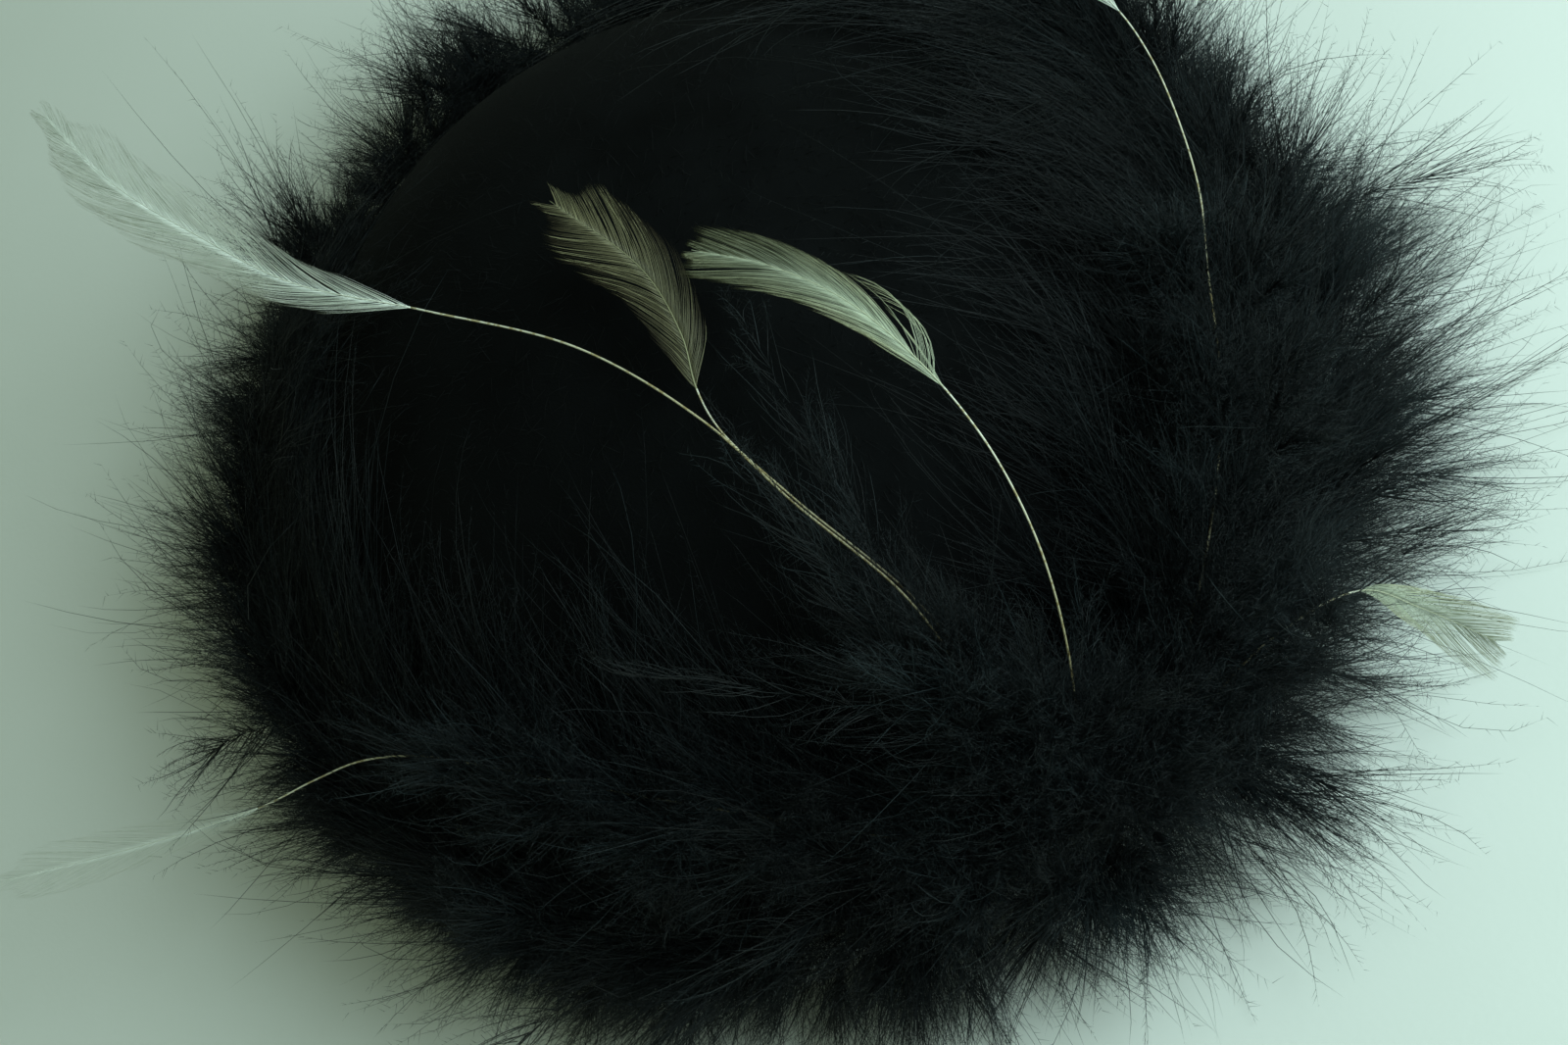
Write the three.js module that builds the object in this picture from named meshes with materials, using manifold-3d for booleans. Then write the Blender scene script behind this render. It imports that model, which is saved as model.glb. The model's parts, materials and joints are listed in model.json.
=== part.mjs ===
// A small felt hat trimmed with a marabou boa and a spray of hackle feathers, in millimetres, +Z up.
// The hat stands on the edge of its crown. Its front, where the spray is sewn on, faces -Y.
import * as THREE from 'three';
import { mergeVertices } from 'three/addons/utils/BufferGeometryUtils.js';
import Module from 'manifold-3d';

const wasm = await Module();
wasm.setup();

// ---- Driving dimensions, measured from the crown's own axis ----
const CROWN_RADIUS = 80;
const CROWN_HEIGHT = 78;
const FELT = 2.5;
const GAP = 0.4;
const FELT_EDGE_Z = 2.8;

const BINDING_HEIGHT = 8;
const RIBBON = 0.6;
const WIRE_RADIUS = 0.6;

const LINING_Z = 10;
const BAND_THICKNESS = 0.8;
const BAND_GAP = 0.9;
const BAND_LOW_Z = 2;
const BAND_HIGH_Z = 22;

const CORD_RING_RADIUS = 84;
const CORD_Z = 16;
const CORD_RADIUS = 1.9;
const CORD_END_ANGLE = 3.2;
const WHIPPING_LENGTH = 7;

const MARABOU_SECTIONS = 12;
const MARABOU_START_ANGLE = 10;
const MARABOU_GAP_ANGLE = 2;
const MARABOU_REACH = 107;
const DOWN_CLEARANCE = 1.2;
const DOWN_LOW_Z = 0.8;
const STITCHES = 6;
const STITCH_RADIUS = 0.4;

const SPRAY_Y = -94;
const BUNDLE_LOW_Z = 12;
const BUNDLE_HIGH_Z = 28;
const BUNDLE_HALF_WIDTH = 8;
const BUNDLE_HALF_DEPTH = 3;
const WINDING_RADIUS = 0.3;
const PAD_BACK_Y = -88;
const PAD_THICKNESS = 1.6;
const PAD_Z = 20;

const QUILL_ROOT_Z = 29;
const QUILL_PITCH = 2.4;
const QUILL_RADIUS = 0.35;
const QUILL_TIP_RADIUS = 0.18;
const VANE_THICKNESS = 0.9;
const VANE_GAP = 0.4;

const TURN_SEGMENTS = 40;
const FULL_TURN = 2 * Math.PI;
const radians = THREE.MathUtils.degToRad;

// ---- Materials ----
function finish(color, roughness, metalness = 0) {
  return new THREE.MeshStandardMaterial({ color, roughness, metalness });
}

const felt = () => finish(0x0b0f10, 0.95);
const satin = () => finish(0x141416, 0.4);
const grosgrain = () => finish(0x101214, 0.75);
const thread = () => finish(0x0c0c0e, 0.6);
const down = () => finish(0x0d1516, 0.85);
const wire = () => finish(0x8a8d90, 0.35, 1);
const tape = () => finish(0x141612, 0.8);
const horn = () => finish(0xcdbf94, 0.45);

// ---- Geometry helpers ----

// A closed solid through a list of rings with the same number of points each, capped at both ends.
// Each ring runs counter-clockwise as seen from the far end of the loft.
function loft(rings) {
  const sides = rings[0].length;
  const positions = rings.flat().flatMap((p) => [p.x, p.y, p.z]);
  const indices = [];
  for (let k = 0; k + 1 < rings.length; k += 1) {
    for (let i = 0; i < sides; i += 1) {
      const a = k * sides + i;
      const b = k * sides + ((i + 1) % sides);
      indices.push(a, b, b + sides, a, b + sides, a + sides);
    }
  }
  const cap = (ring, first, flip) => {
    const middle = ring.reduce((sum, p) => sum.add(p), new THREE.Vector3()).divideScalar(sides);
    const centre = positions.length / 3;
    positions.push(middle.x, middle.y, middle.z);
    for (let i = 0; i < sides; i += 1) {
      const a = first + i;
      const b = first + ((i + 1) % sides);
      indices.push(centre, flip ? b : a, flip ? a : b);
    }
  };
  cap(rings[0], 0, true);
  cap(rings.at(-1), (rings.length - 1) * sides, false);
  const geometry = new THREE.BufferGeometry();
  geometry.setAttribute('position', new THREE.Float32BufferAttribute(positions, 3));
  geometry.setIndex(indices);
  geometry.computeVertexNormals();
  return geometry;
}

// A closed profile of [radius, height] points turned round Z.
function turned(profile, segments = TURN_SEGMENTS) {
  const points = profile.map(([r, z]) => new THREE.Vector2(r, z));
  points.push(points[0].clone());
  const geometry = new THREE.LatheGeometry(points, segments);
  geometry.rotateX(Math.PI / 2);
  return geometry;
}

// A tube of constant thickness along a curve.
function tube(curve, radius, steps, sides = 8) {
  const outline = new THREE.Shape(
    Array.from({ length: sides }, (_, i) => {
      const angle = (i * FULL_TURN) / sides;
      return new THREE.Vector2(radius * Math.cos(angle), radius * Math.sin(angle));
    }),
  );
  return new THREE.ExtrudeGeometry(outline, { steps, extrudePath: curve, bevelEnabled: false });
}

function toSolid(geometry) {
  const bare = geometry.clone();
  bare.deleteAttribute('normal');
  bare.deleteAttribute('uv');
  const merged = mergeVertices(bare, 1e-4);
  return new wasm.Manifold(
    new wasm.Mesh({
      numProp: 3,
      vertProperties: merged.attributes.position.array,
      triVerts: new Uint32Array(merged.index.array),
    }),
  );
}

function toGeometry(solid) {
  const mesh = solid.getMesh();
  const geometry = new THREE.BufferGeometry();
  geometry.setAttribute('position', new THREE.BufferAttribute(mesh.vertProperties, 3));
  geometry.setIndex(new THREE.BufferAttribute(mesh.triVerts, 1));
  geometry.computeVertexNormals();
  return geometry;
}

const hat = new THREE.Group();

function add(name, geometry, material) {
  const mesh = new THREE.Mesh(geometry, material);
  mesh.name = name;
  hat.add(mesh);
  return mesh;
}

// Angles run round the hat from its front (-Y), positive towards its right side (+X).
function aroundHat(radius, angle, z) {
  const a = radians(angle);
  return new THREE.Vector3(radius * Math.sin(a), -radius * Math.cos(a), z);
}

// The crown is half an ellipsoid. Inset shells follow it at an even distance.
function domeRadius(z, inset = 0) {
  const share = z / (CROWN_HEIGHT - inset);
  return (CROWN_RADIUS - inset) * Math.sqrt(Math.max(0, 1 - share * share));
}

function domeArc(inset, lowZ, steps) {
  const height = CROWN_HEIGHT - inset;
  const start = Math.asin(lowZ / height);
  return Array.from({ length: steps + 1 }, (_, i) => {
    const angle = THREE.MathUtils.lerp(start, Math.PI / 2, i / steps);
    const radius = i === steps ? 0 : (CROWN_RADIUS - inset) * Math.cos(angle);
    return [radius, height * Math.sin(angle)];
  });
}

// ---- The hat's shell ----

function domeShell(outerInset, innerInset, lowZ, steps) {
  const inner = domeArc(innerInset, lowZ, steps).reverse();
  const outer = domeArc(outerInset, lowZ, steps);
  const points = [...inner, ...outer].map(([r, z]) => new THREE.Vector2(r, z));
  const geometry = new THREE.LatheGeometry(points, TURN_SEGMENTS);
  geometry.rotateX(Math.PI / 2);
  return geometry;
}

function feltCrown() {
  return domeShell(0, FELT, FELT_EDGE_Z, 8);
}

function crownLining() {
  return domeShell(FELT + GAP, FELT + GAP + RIBBON, LINING_Z, 7);
}

// The grosgrain sweatband lies on the lining and covers its lower edge.
function sweatband() {
  const outer = FELT + GAP + RIBBON + BAND_GAP;
  const inner = outer + BAND_THICKNESS;
  const heights = [BAND_LOW_Z, (BAND_LOW_Z + BAND_HIGH_Z) / 2, BAND_HIGH_Z];
  const outside = heights.map((z) => [domeRadius(z, outer), z]);
  const inside = heights.map((z) => [domeRadius(z, inner), z]).reverse();
  return turned([...outside, ...inside]);
}

// Ribbon folded round the felt's cut edge: the hat stands on its flat underside.
function edgeBinding() {
  const outer = CROWN_RADIUS + GAP;
  const inner = domeRadius(BINDING_HEIGHT, FELT) - GAP;
  return turned([
    [inner - RIBBON, 0],
    [outer + RIBBON, 0],
    [outer + RIBBON, BINDING_HEIGHT],
    [outer, BINDING_HEIGHT],
    [outer, RIBBON],
    [inner, RIBBON],
    [inner, BINDING_HEIGHT],
    [inner - RIBBON, BINDING_HEIGHT],
  ]);
}

// Millinery wire inside the folded binding, under the felt's edge.
function edgeWire() {
  const geometry = new THREE.TorusGeometry(CROWN_RADIUS - FELT / 2, WIRE_RADIUS, 6, TURN_SEGMENTS);
  geometry.translate(0, 0, RIBBON + GAP + WIRE_RADIUS);
  return geometry;
}

// ---- The boa ----

// Part of the ring that the boa's cord follows.
class RingArc extends THREE.Curve {
  constructor(fromAngle, toAngle) {
    super();
    this.fromAngle = fromAngle;
    this.toAngle = toAngle;
  }

  getPoint(t, target = new THREE.Vector3()) {
    const angle = THREE.MathUtils.lerp(this.fromAngle, this.toAngle, t);
    return target.copy(aroundHat(CORD_RING_RADIUS, angle, CORD_Z));
  }
}

function boaCord() {
  return tube(new RingArc(CORD_END_ANGLE, 360 - CORD_END_ANGLE), CORD_RADIUS, 72, 6);
}

// Thread wound round one end of the cord, with a ridge for each layer of turns.
function cordWhipping(angle) {
  const inner = CORD_RADIUS + 0.3;
  const outer = inner + 0.8;
  const ridges = 5;
  const pitch = WHIPPING_LENGTH / ridges;
  const profile = [[inner, WHIPPING_LENGTH], [inner, 0]];
  for (let i = 0; i < ridges; i += 1) {
    profile.push([outer - 0.3, i * pitch]);
    profile.push([outer, (i + 0.5) * pitch]);
  }
  profile.push([outer - 0.3, WHIPPING_LENGTH]);
  const geometry = turned(profile, 12);
  geometry.translate(0, 0, -WHIPPING_LENGTH / 2);
  geometry.rotateY(Math.PI / 2);
  geometry.rotateZ(radians(angle));
  const middle = aroundHat(CORD_RING_RADIUS, angle, CORD_Z);
  geometry.translate(middle.x, middle.y, middle.z);
  return geometry;
}

// How far out the down reaches: it stands furthest out at the front right.
function marabouReach(angle) {
  const fromLobe = (THREE.MathUtils.euclideanModulo(angle - 38 + 180, 360) - 180) / 30;
  const fromFront = (THREE.MathUtils.euclideanModulo(angle + 180, 360) - 180) / 40;
  return MARABOU_REACH + 16 * Math.exp(-fromLobe * fromLobe) + 5 * Math.exp(-fromFront * fromFront);
}

// The outline of the down on one side of the crown, clear of the crown and of the surface below.
function marabouOutline(angle) {
  const reach = marabouReach(angle);
  const onCrown = (z) => domeRadius(z) + DOWN_CLEARANCE;
  const besideBinding = CROWN_RADIUS + GAP + RIBBON + 0.7;
  return [
    [besideBinding, BINDING_HEIGHT + 1],
    [onCrown(18), 18],
    [onCrown(28), 28],
    [onCrown(38), 38],
    [onCrown(40) + 3, 42],
    [84, 38],
    [92, 31],
    [100, 24],
    [reach - 4, 18],
    [reach, 11],
    [reach - 3, 4],
    [reach - 12, DOWN_LOW_Z],
    [besideBinding, DOWN_LOW_Z],
  ].map(([r, z]) => aroundHat(r, angle, z));
}

const MARABOU_PITCH = (360 - 2 * MARABOU_START_ANGLE) / MARABOU_SECTIONS;

// One bunch of plumes, with the bore that the cord runs through.
function marabouSection(index) {
  const from = MARABOU_START_ANGLE + index * MARABOU_PITCH + MARABOU_GAP_ANGLE / 2;
  const to = from + MARABOU_PITCH - MARABOU_GAP_ANGLE;
  const slices = 5;
  const rings = Array.from({ length: slices + 1 }, (_, i) =>
    marabouOutline(THREE.MathUtils.lerp(from, to, i / slices)),
  );
  const bore = tube(new RingArc(from - 3, to + 3), CORD_RADIUS + 0.5, 8);
  return toGeometry(toSolid(loft(rings)).subtract(toSolid(bore)));
}

// A thread from the felt, round the cord and back, between two bunches of plumes.
function boaStitch(angle) {
  const clear = CORD_RADIUS + 0.8;
  const route = [
    [domeRadius(CORD_Z + clear) + 0.9, CORD_Z + clear],
    [CORD_RING_RADIUS - 0.8, CORD_Z + clear],
    [CORD_RING_RADIUS + 0.7 * clear, CORD_Z + 0.7 * clear],
    [CORD_RING_RADIUS + clear, CORD_Z],
    [CORD_RING_RADIUS + 0.7 * clear, CORD_Z - 0.7 * clear],
    [CORD_RING_RADIUS - 0.8, CORD_Z - clear],
    [domeRadius(CORD_Z - clear) + 0.9, CORD_Z - clear],
  ];
  const curve = new THREE.CatmullRomCurve3(route.map(([r, z]) => aroundHat(r, angle, z)));
  return tube(curve, STITCH_RADIUS, 12, 5);
}

// ---- The spray's mount ----

// An oval felt pad sewn over the cord at the front.
function sprayPad() {
  const outline = new THREE.Shape();
  outline.absellipse(0, 0, 13, 9.5, 0, FULL_TURN);
  const geometry = new THREE.ExtrudeGeometry(outline, {
    depth: PAD_THICKNESS,
    bevelEnabled: false,
    curveSegments: 14,
  });
  geometry.rotateX(Math.PI / 2);
  geometry.translate(0, PAD_BACK_Y, PAD_Z);
  return geometry;
}

// The wrapped bundle of quill ends is flat, and narrower at its foot.
function bundleHalfWidth(z) {
  const share = (z - BUNDLE_LOW_Z) / (BUNDLE_HIGH_Z - BUNDLE_LOW_Z);
  return BUNDLE_HALF_WIDTH * THREE.MathUtils.lerp(0.6, 1, share);
}

function bundlePoint(turn, z, clearance) {
  const angle = FULL_TURN * turn;
  const x = (bundleHalfWidth(z) + clearance) * Math.cos(angle);
  const y = (BUNDLE_HALF_DEPTH + clearance) * Math.sin(angle);
  return new THREE.Vector3(x, SPRAY_Y + y, z);
}

function quillBinding() {
  const sides = 16;
  const ring = (z) => Array.from({ length: sides }, (_, i) => bundlePoint(i / sides, z, 0));
  return loft([ring(BUNDLE_LOW_Z), ring(BUNDLE_HIGH_Z)]);
}

// Thread wound round the bundle in one open coil.
function bindingThread() {
  const turns = 3;
  const stepsPerTurn = 14;
  const points = Array.from({ length: turns * stepsPerTurn + 1 }, (_, i) => {
    const turn = i / stepsPerTurn;
    return bundlePoint(turn, THREE.MathUtils.lerp(16, 25, turn / turns), 2 * WINDING_RADIUS);
  });
  const curve = new THREE.CatmullRomCurve3(points);
  return tube(curve, WINDING_RADIUS, turns * stepsPerTurn, 5);
}

// Down bound in behind the quills, lying up the front of the crown between the first bunches.
function marabouTuft() {
  const behind = (z) => [domeRadius(z) + DOWN_CLEARANCE, z];
  const outline = [behind(31), behind(38), behind(46), behind(54), [70.5, 57], [80, 49], [86.5, 39], [90, 31]];
  const angles = [-7.5, -4, 0, 4, 7.5];
  return loft(angles.map((angle) => outline.map(([r, z]) => aroundHat(r, angle, z))));
}

// ---- The hackle feathers ----

// Each route runs from above the binding to the feather's tip, and the vane fills its last vaneLength.
// A slot is the quill's place in the row of six at the binding.
const HACKLES = [
  {
    slot: -1.5,
    route: [
      [-3, -92, 38], [-1.5, -87, 50], [1, -77.5, 62], [1.5, -68, 71], [-2.5, -52, 83], [-5, -37, 88],
      [-12, -18, 92], [-26, 3, 93], [-39, 23, 91], [-47, 44, 88], [-54, 67, 84], [-58, 95, 78],
    ],
    vaneLength: 98,
    halfWidth: 6.5,
    colour: 0xe9eee2,
  },
  {
    slot: -0.5,
    route: [
      [-0.6, -92, 38], [0.8, -85, 48], [2.6, -75.5, 58], [2.2, -66, 67], [-2, -50, 79.5], [-4, -37, 84],
      [-3, -31, 86], [0, -24, 88], [1.5, -13, 90], [-2.5, 6.5, 90],
    ],
    vaneLength: 39,
    halfWidth: 6.5,
    colour: 0x8f8a72,
  },
  {
    slot: 0.5,
    route: [
      [3, -93, 38], [7, -91, 46], [12, -87, 55], [18, -79, 70], [21, -71, 78], [22.5, -62, 83],
      [22.4, -50.5, 87], [20, -38, 91], [15, -27.5, 93.5], [8.3, -18, 94],
    ],
    vaneLength: 41,
    halfWidth: 4.2,
    colour: 0xd9d6bd,
  },
  {
    slot: 1.5,
    route: [
      [7, -95, 35], [15, -94.5, 39.5], [30, -87, 43.5], [45, -75, 46], [57, -62, 48], [67, -47, 49.5],
      [73.5, -37.5, 50.5], [78.7, -26.5, 51], [83, -14, 51], [85, -2, 50.5], [84, 16, 50], [79, 37, 49],
      [69, 57, 47],
    ],
    vaneLength: 64,
    halfWidth: 6,
    colour: 0xe2e2cf,
  },
  {
    slot: 2.5,
    route: [[10, -95.5, 32], [21, -96, 37], [38, -94.5, 40], [52.8, -96.8, 38.5], [57.5, -103.3, 36], [62.9, -113.1, 32]],
    vaneLength: 21,
    halfWidth: 5,
    colour: 0xe6e4c4,
  },
  {
    slot: -2.5,
    route: [
      [-10, -92, 35], [-17, -87, 40.5], [-36, -67, 45], [-54, -46.5, 47], [-69.8, -28, 48], [-78, -21.5, 47],
      [-87, -16.5, 43], [-97, -12, 39], [-118, 0, 32], [-145, 16, 26],
    ],
    vaneLength: 56,
    halfWidth: 5.5,
    colour: 0xdfe3d2,
  },
];

function hackleCurve({ slot, route }) {
  const root = [slot * QUILL_PITCH, SPRAY_Y, QUILL_ROOT_Z];
  return new THREE.CatmullRomCurve3([root, ...route].map((p) => new THREE.Vector3(...p)), false, 'centripetal');
}

// A round quill, tapering from its root to the foot of the vane.
function quill(curve, endShare) {
  const steps = 24;
  const sides = 5;
  const frames = curve.computeFrenetFrames(steps);
  const rings = Array.from({ length: steps + 1 }, (_, k) => {
    const middle = curve.getPointAt((endShare * k) / steps);
    const radius = THREE.MathUtils.lerp(QUILL_RADIUS, QUILL_TIP_RADIUS, k / steps);
    return Array.from({ length: sides }, (_, i) => {
      const angle = (i * FULL_TURN) / sides;
      return middle
        .clone()
        .addScaledVector(frames.normals[k], radius * Math.cos(angle))
        .addScaledVector(frames.binormals[k], radius * Math.sin(angle));
    });
  });
  return loft(rings);
}

// A thin leaf, level across, that widens from the quill and closes to the tip.
function vane(curve, startShare, halfWidth) {
  const steps = 12;
  const up = new THREE.Vector3(0, 0, 1);
  const narrowest = QUILL_TIP_RADIUS;
  const rings = Array.from({ length: steps + 1 }, (_, k) => {
    const share = k / steps;
    const u = THREE.MathUtils.lerp(startShare, 1, share);
    const middle = curve.getPointAt(u);
    const along = curve.getTangentAt(u);
    const across = new THREE.Vector3().crossVectors(along, up).normalize();
    const through = new THREE.Vector3().crossVectors(across, along);
    const width = narrowest + (halfWidth - narrowest) * Math.sin(Math.PI * share ** 0.75);
    const half = VANE_THICKNESS / 2;
    return [[1, 0], [0.5, -half], [-0.5, -half], [-1, 0], [-0.5, half], [0.5, half]].map(([x, y]) =>
      middle.clone().addScaledVector(across, x * width).addScaledVector(through, y),
    );
  });
  return loft(rings);
}

// ---- Assembly ----

add('felt_crown', feltCrown(), felt());
add('crown_lining', crownLining(), satin());
add('sweatband', sweatband(), grosgrain());
add('edge_binding', edgeBinding(), grosgrain());
add('edge_wire', edgeWire(), wire());

add('boa_cord', boaCord(), thread());
const whippingAngle = CORD_END_ANGLE + THREE.MathUtils.radToDeg(WHIPPING_LENGTH / 2 / CORD_RING_RADIUS) + 0.5;
add('cord_whipping_right', cordWhipping(whippingAngle), thread());
add('cord_whipping_left', cordWhipping(-whippingAngle), thread());
for (let i = 0; i < MARABOU_SECTIONS; i += 1) {
  add(`marabou_${String(i + 1).padStart(2, '0')}`, marabouSection(i), down());
}
for (let i = 0; i < STITCHES; i += 1) {
  const angle = MARABOU_START_ANGLE + (2 * i + 1) * MARABOU_PITCH;
  add(`boa_stitch_${i + 1}`, boaStitch(angle), thread());
}

add('spray_pad', sprayPad(), felt());
add('quill_binding', quillBinding(), tape());
add('binding_thread', bindingThread(), thread());
add('marabou_tuft', marabouTuft(), down());

HACKLES.forEach((hackle, i) => {
  const curve = hackleCurve(hackle);
  const length = curve.getLength();
  const vaneStart = 1 - hackle.vaneLength / length;
  add(`hackle_${i + 1}_quill`, quill(curve, vaneStart - VANE_GAP / length), horn());
  add(`hackle_${i + 1}_vane`, vane(curve, vaneStart, hackle.halfWidth), finish(hackle.colour, 0.6));
});

// The frame's origin is under the middle of the whole object's box, on the surface it stands on.
const whole = new THREE.Box3().setFromObject(hat, true);
const middle = whole.getCenter(new THREE.Vector3());
hat.position.set(-middle.x, -middle.y, -whole.min.z);

export default hat;
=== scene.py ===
"""A small black felt hat with a marabou feather boa round its edge and a spray of six hackle feathers.

Lengths in this file are millimetres measured from the crown's own axis at the surface the hat stands on,
with the hat's front towards -Y, until metres() turns them into the frame's metres.
"""

import json
import math
from collections import namedtuple

import bpy
import numpy as np
from mathutils import Matrix, Vector


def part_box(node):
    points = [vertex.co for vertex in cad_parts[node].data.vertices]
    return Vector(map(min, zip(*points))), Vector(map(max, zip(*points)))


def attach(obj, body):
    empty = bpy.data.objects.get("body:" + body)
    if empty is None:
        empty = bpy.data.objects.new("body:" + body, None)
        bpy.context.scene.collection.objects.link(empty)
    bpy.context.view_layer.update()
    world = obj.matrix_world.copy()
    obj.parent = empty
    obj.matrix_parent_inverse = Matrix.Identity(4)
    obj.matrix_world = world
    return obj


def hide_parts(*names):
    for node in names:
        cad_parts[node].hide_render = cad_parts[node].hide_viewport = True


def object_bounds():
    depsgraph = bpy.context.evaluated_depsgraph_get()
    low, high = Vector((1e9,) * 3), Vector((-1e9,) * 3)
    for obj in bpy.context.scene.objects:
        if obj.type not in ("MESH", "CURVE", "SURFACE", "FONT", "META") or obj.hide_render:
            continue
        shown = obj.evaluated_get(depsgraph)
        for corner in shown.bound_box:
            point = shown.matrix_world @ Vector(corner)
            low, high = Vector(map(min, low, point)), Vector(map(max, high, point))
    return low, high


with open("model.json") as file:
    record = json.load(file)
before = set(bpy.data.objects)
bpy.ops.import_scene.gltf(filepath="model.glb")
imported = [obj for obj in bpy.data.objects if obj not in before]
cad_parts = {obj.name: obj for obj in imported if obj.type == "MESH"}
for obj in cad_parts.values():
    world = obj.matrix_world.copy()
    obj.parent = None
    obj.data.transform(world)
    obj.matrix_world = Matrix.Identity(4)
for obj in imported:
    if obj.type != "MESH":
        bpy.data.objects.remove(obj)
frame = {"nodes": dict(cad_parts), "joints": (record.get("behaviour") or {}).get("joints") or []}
CAD_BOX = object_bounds()

# ---- The frame ----

FELT_LOW, FELT_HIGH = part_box("felt_crown")
AXIS = np.array([(FELT_LOW.x + FELT_HIGH.x) / 2, (FELT_LOW.y + FELT_HIGH.y) / 2, 0.0])
CROWN_RADIUS = (FELT_HIGH.x - FELT_LOW.x) * 500
CROWN_HEIGHT = FELT_HIGH.z * 1000
FELT = 2.5
LINING_INSET = 2.9
LINING = 0.6
BAND_INSET = 4.4
BAND = 0.8
CORD_RING_RADIUS = 84.0
CORD_Z = 16.0
CORD_RADIUS = 1.9
SPRAY_Y = -94.0
UP = np.array([0.0, 0.0, 1.0])

# How far the down may pass each side of the CAD box: a share of that side and a fixed amount.
ROOM = np.array(CAD_BOX[1] - CAD_BOX[0]) * 1000 * 0.03 + 9
LOWEST_DOWN = 0.5


def metres(points):
    """Points in this file's millimetres as metres in the shared frame."""
    return np.asarray(points, float) / 1000 + AXIS


def millimetres(points):
    """The opposite of metres()."""
    return (np.asarray(points, float) - AXIS) * 1000


def around_hat(radius, angle, z):
    """Points at angles in degrees from the hat's front, positive towards +X."""
    a = np.radians(angle)
    r, a, z = np.broadcast_arrays(np.asarray(radius, float), a, np.asarray(z, float))
    return np.stack([r * np.sin(a), -r * np.cos(a), z], axis=-1)


def straight_out(angle):
    """The level direction straight out from the hat at that angle."""
    return around_hat(1.0, angle, 0.0)


def dome_radius(z, inset=0.0):
    """The crown's radius at a height, on a dome that lies that far inside the felt's outer face."""
    share = np.clip(np.asarray(z, float) / (CROWN_HEIGHT - inset), 0, 1)
    return (CROWN_RADIUS - inset) * np.sqrt(1 - share * share)


def unit(v):
    """Vectors scaled to length 1."""
    return v / np.maximum(np.linalg.norm(v, axis=-1, keepdims=True), 1e-9)


def mixed(a, b, share):
    """From a at a share of 0 to b at 1."""
    return a + (b - a) * share


def smooth_step(x):
    """A smooth rise from 0 at x = 0 to 1 at x = 1."""
    x = np.clip(x, 0, 1)
    return x * x * (3 - 2 * x)


# ---- Materials ----


class Nodes:
    """A material's node tree, with one call for each node."""

    def __init__(self, name):
        self.material = bpy.data.materials.new(name)
        self.material.use_nodes = True
        self.tree = self.material.node_tree
        self.shader = self.tree.nodes["Principled BSDF"]

    def add(self, kind, **values):
        """A node with these properties and input values."""
        node = self.tree.nodes.new(kind)
        for key, value in values.items():
            if hasattr(node, key):
                setattr(node, key, value)
            else:
                node.inputs[key.replace("_", " ")].default_value = value
        return node

    def link(self, start, end):
        self.tree.links.new(start, end)

    def attribute(self, name):
        return self.add("ShaderNodeAttribute", attribute_name=name)

    def noise(self, scale, detail=3.0, roughness=0.55, vector=None):
        node = self.add("ShaderNodeTexNoise", Scale=scale, Detail=detail, Roughness=roughness)
        self.link(vector or self.place(), node.inputs["Vector"])
        return node.outputs["Fac"]

    def place(self):
        """The point's own coordinates, for textures."""
        if not hasattr(self, "coordinates"):
            self.coordinates = self.add("ShaderNodeTexCoord")
        return self.coordinates.outputs["Object"]

    def stretched(self, scale):
        node = self.add("ShaderNodeMapping")
        node.inputs["Scale"].default_value = scale
        self.link(self.place(), node.inputs["Vector"])
        return node.outputs["Vector"]

    def ramp(self, factor, stops):
        """Colours from a factor, by stops of (position, colour)."""
        node = self.add("ShaderNodeValToRGB")
        ramp = node.color_ramp
        for i, (position, colour) in enumerate(stops):
            stop = ramp.elements[i] if i < 2 else ramp.elements.new(position)
            stop.position = position
            stop.color = (*colour, 1)
        self.link(factor, node.inputs["Fac"])
        return node.outputs["Color"]

    def maths(self, operation, a, b):
        node = self.add("ShaderNodeMath", operation=operation)
        for socket, value in zip(node.inputs, (a, b)):
            if isinstance(value, (int, float)):
                socket.default_value = value
            else:
                self.link(value, socket)
        return node.outputs["Value"]

    def multiplied(self, a, b):
        node = self.add("ShaderNodeMix", data_type="RGBA", blend_type="MULTIPLY")
        node.inputs["Factor"].default_value = 1.0
        self.link(a, node.inputs["A"])
        self.link(b, node.inputs["B"])
        return node.outputs["Result"]

    def bump(self, height, strength, distance):
        node = self.add("ShaderNodeBump")
        node.inputs["Strength"].default_value = strength
        node.inputs["Distance"].default_value = distance
        self.link(height, node.inputs["Height"])
        self.link(node.outputs["Normal"], self.shader.inputs["Normal"])

    def set(self, **values):
        """Uniform values for the shader's own inputs."""
        for key, value in values.items():
            self.shader.inputs[key.replace("_", " ")].default_value = value

    def colour(self, output):
        self.link(output, self.shader.inputs["Base Color"])


def felt_material():
    m = Nodes("black_felt")
    cloudy = m.noise(60, 5)
    m.colour(m.ramp(cloudy, [(0.3, (0.0010, 0.0012, 0.0013)), (0.75, (0.0032, 0.0038, 0.0041))]))
    m.bump(m.noise(1800, 4, 0.7), 0.5, 0.0003)
    m.set(Roughness=0.95, Specular_IOR_Level=0.08)
    return m.material


def nap_material():
    m = Nodes("felt_nap")
    tone = m.attribute("tone").outputs["Fac"]
    m.colour(m.ramp(tone, [(0.0, (0.0014, 0.0017, 0.0018)), (1.0, (0.007, 0.0085, 0.009))]))
    m.set(Roughness=0.8, Specular_IOR_Level=0.2)
    return m.material


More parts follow.
